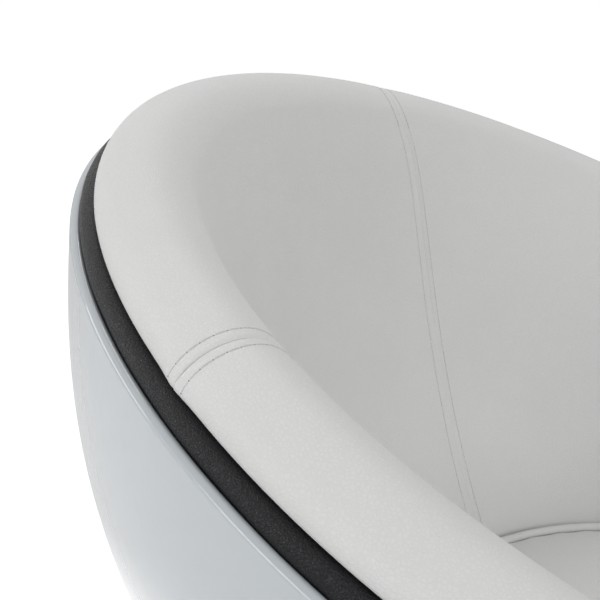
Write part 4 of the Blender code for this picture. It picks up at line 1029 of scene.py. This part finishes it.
def stage_floor():
    """A pale floor that keeps the chair's shadow.

    To the camera, in reflections and through clear things it glows by itself as well, so that it shows
    white. In reflections that glow fades from 0.6 to 1.0 metres off the axis.
    """
    mesh = bpy.data.meshes.new("studio_floor")
    size = 14.0
    mesh.from_pydata([(-size, -size, 0), (size, -size, 0), (size, size, 0), (-size, size, 0)], [],
                     [(0, 1, 2, 3)])
    floor = bpy.data.objects.new("studio_floor", mesh)
    bpy.context.scene.collection.objects.link(floor)
    finish = Finish("pale_floor")
    speckle = finish.noise(finish.place(), 300.0)
    finish.set(Base_Color=finish.mix(speckle, rgb(0.85, 0.85, 0.85), rgb(0.87, 0.87, 0.87)), Roughness=0.9,
               Specular_IOR_Level=0.1)
    seen = finish.node("ShaderNodeLightPath", output="Is Camera Ray")
    mirrored = finish.node("ShaderNodeLightPath", output="Is Glossy Ray")
    through = finish.node("ShaderNodeLightPath", output="Is Transmission Ray")
    apart = finish.node("ShaderNodeVectorMath", {"operation": "LENGTH"}, {0: finish.place()},
                        output="Value")
    near = 1 - apart.step(0.6, 1.0)
    glow = finish.node("ShaderNodeEmission", None, {"Color": rgb(1, 1, 1), "Strength": 1.0})
    lit = finish.node("ShaderNodeAddShader")
    blend = finish.node("ShaderNodeMixShader", None,
                        {0: (seen + through) * FLOOR_GLOW
                         + mirrored * (FLOOR_MIRRORED + near * FLOOR_MIRRORED_NEAR)})
    tree = finish.tree
    tree.links.new(finish.shader.outputs[0], lit.socket.node.inputs[0])
    tree.links.new(glow.socket, lit.socket.node.inputs[1])
    tree.links.new(finish.shader.outputs[0], blend.socket.node.inputs[1])
    tree.links.new(lit.socket, blend.socket.node.inputs[2])
    tree.links.new(blend.socket, tree.nodes["Material Output"].inputs[0])
    mesh.materials.append(finish.material)


def surround():
    """The studio round the chair: white to the camera, softer to reflections low down, dimmer as light."""
    world = bpy.data.worlds.new("studio_surround")
    bpy.context.scene.world = world
    world.use_nodes = True
    tree = world.node_tree
    tree.nodes.clear()

    def math_node(operation, first, second):
        """One Math node of sockets or numbers."""
        made = tree.nodes.new("ShaderNodeMath")
        made.operation = operation
        for socket, value in zip(made.inputs, (first, second)):
            if isinstance(value, float):
                socket.default_value = value
            else:
                tree.links.new(value, socket)
        return made.outputs[0]

    path = tree.nodes.new("ShaderNodeLightPath")
    place = tree.nodes.new("ShaderNodeTexCoord")
    split = tree.nodes.new("ShaderNodeSeparateXYZ")
    tree.links.new(place.outputs["Generated"], split.inputs[0])
    rise = tree.nodes.new("ShaderNodeMapRange")
    rise.interpolation_type = "SMOOTHSTEP"
    rise.inputs["From Max"].default_value = 0.7
    rise.inputs["To Min"].default_value = MIRRORED_LOW
    rise.inputs["To Max"].default_value = MIRRORED_HIGH
    tree.links.new(split.outputs[2], rise.inputs["Value"])
    seen = math_node("MAXIMUM", path.outputs["Is Camera Ray"], path.outputs["Is Transmission Ray"])
    mirrored = math_node("MULTIPLY", path.outputs["Is Glossy Ray"], rise.outputs[0])
    plain = math_node("SUBTRACT", 1.0, math_node("MAXIMUM", seen, path.outputs["Is Glossy Ray"]))
    level = math_node("ADD", math_node("ADD", seen, mirrored), math_node("MULTIPLY", plain, WORLD_LEVEL))
    background = tree.nodes.new("ShaderNodeBackground")
    background.inputs["Color"].default_value = rgb(1.0, 1.0, 1.0)
    tree.links.new(level, background.inputs["Strength"])
    output = tree.nodes.new("ShaderNodeOutputWorld")
    tree.links.new(background.outputs[0], output.inputs[0])


def make_softboxes():
    """The square area lamps, which look at the chair's middle."""
    for name, (place, power) in SOFTBOXES.items():
        light = bpy.data.lights.new(name, "AREA")
        light.shape = "SQUARE"
        light.size = SOFTBOX_SIZE
        light.energy = power
        lamp = bpy.data.objects.new(name, light)
        lamp.location = place
        lamp.rotation_euler = (SOFTBOX_TARGET - Vector(place)).to_track_quat("-Z", "Y").to_euler()
        bpy.context.scene.collection.objects.link(lamp)


def photo_camera():
    """The photograph's viewpoint: beside the right arm, above the rim, looking down and forward."""
    data = bpy.data.cameras.new("photo_camera")
    data.sensor_width = SENSOR_WIDTH
    data.lens = FOCAL_PIXELS / PICTURE_PIXELS * SENSOR_WIDTH
    camera = bpy.data.objects.new("photo_camera", data)
    bpy.context.scene.collection.objects.link(camera)
    forward = CAMERA_FORWARD.normalized()
    right = CAMERA_RIGHT.normalized()
    up = right.cross(forward)
    camera.matrix_world = (Matrix.Translation(Vector(RIM_CENTRE) + CAMERA_PLACE)
                           @ Matrix((right, up, -forward)).transposed().to_4x4())
    data.clip_start = 0.02
    bpy.context.scene.camera = camera


photo_camera()
stage_floor()
surround()
make_softboxes()
make_bowl()
make_piping()
make_lining()
make_cushion()
make_welt()
make_pedestal()
finish_inner_parts()
bpy.context.scene.view_settings.view_transform = "Standard"
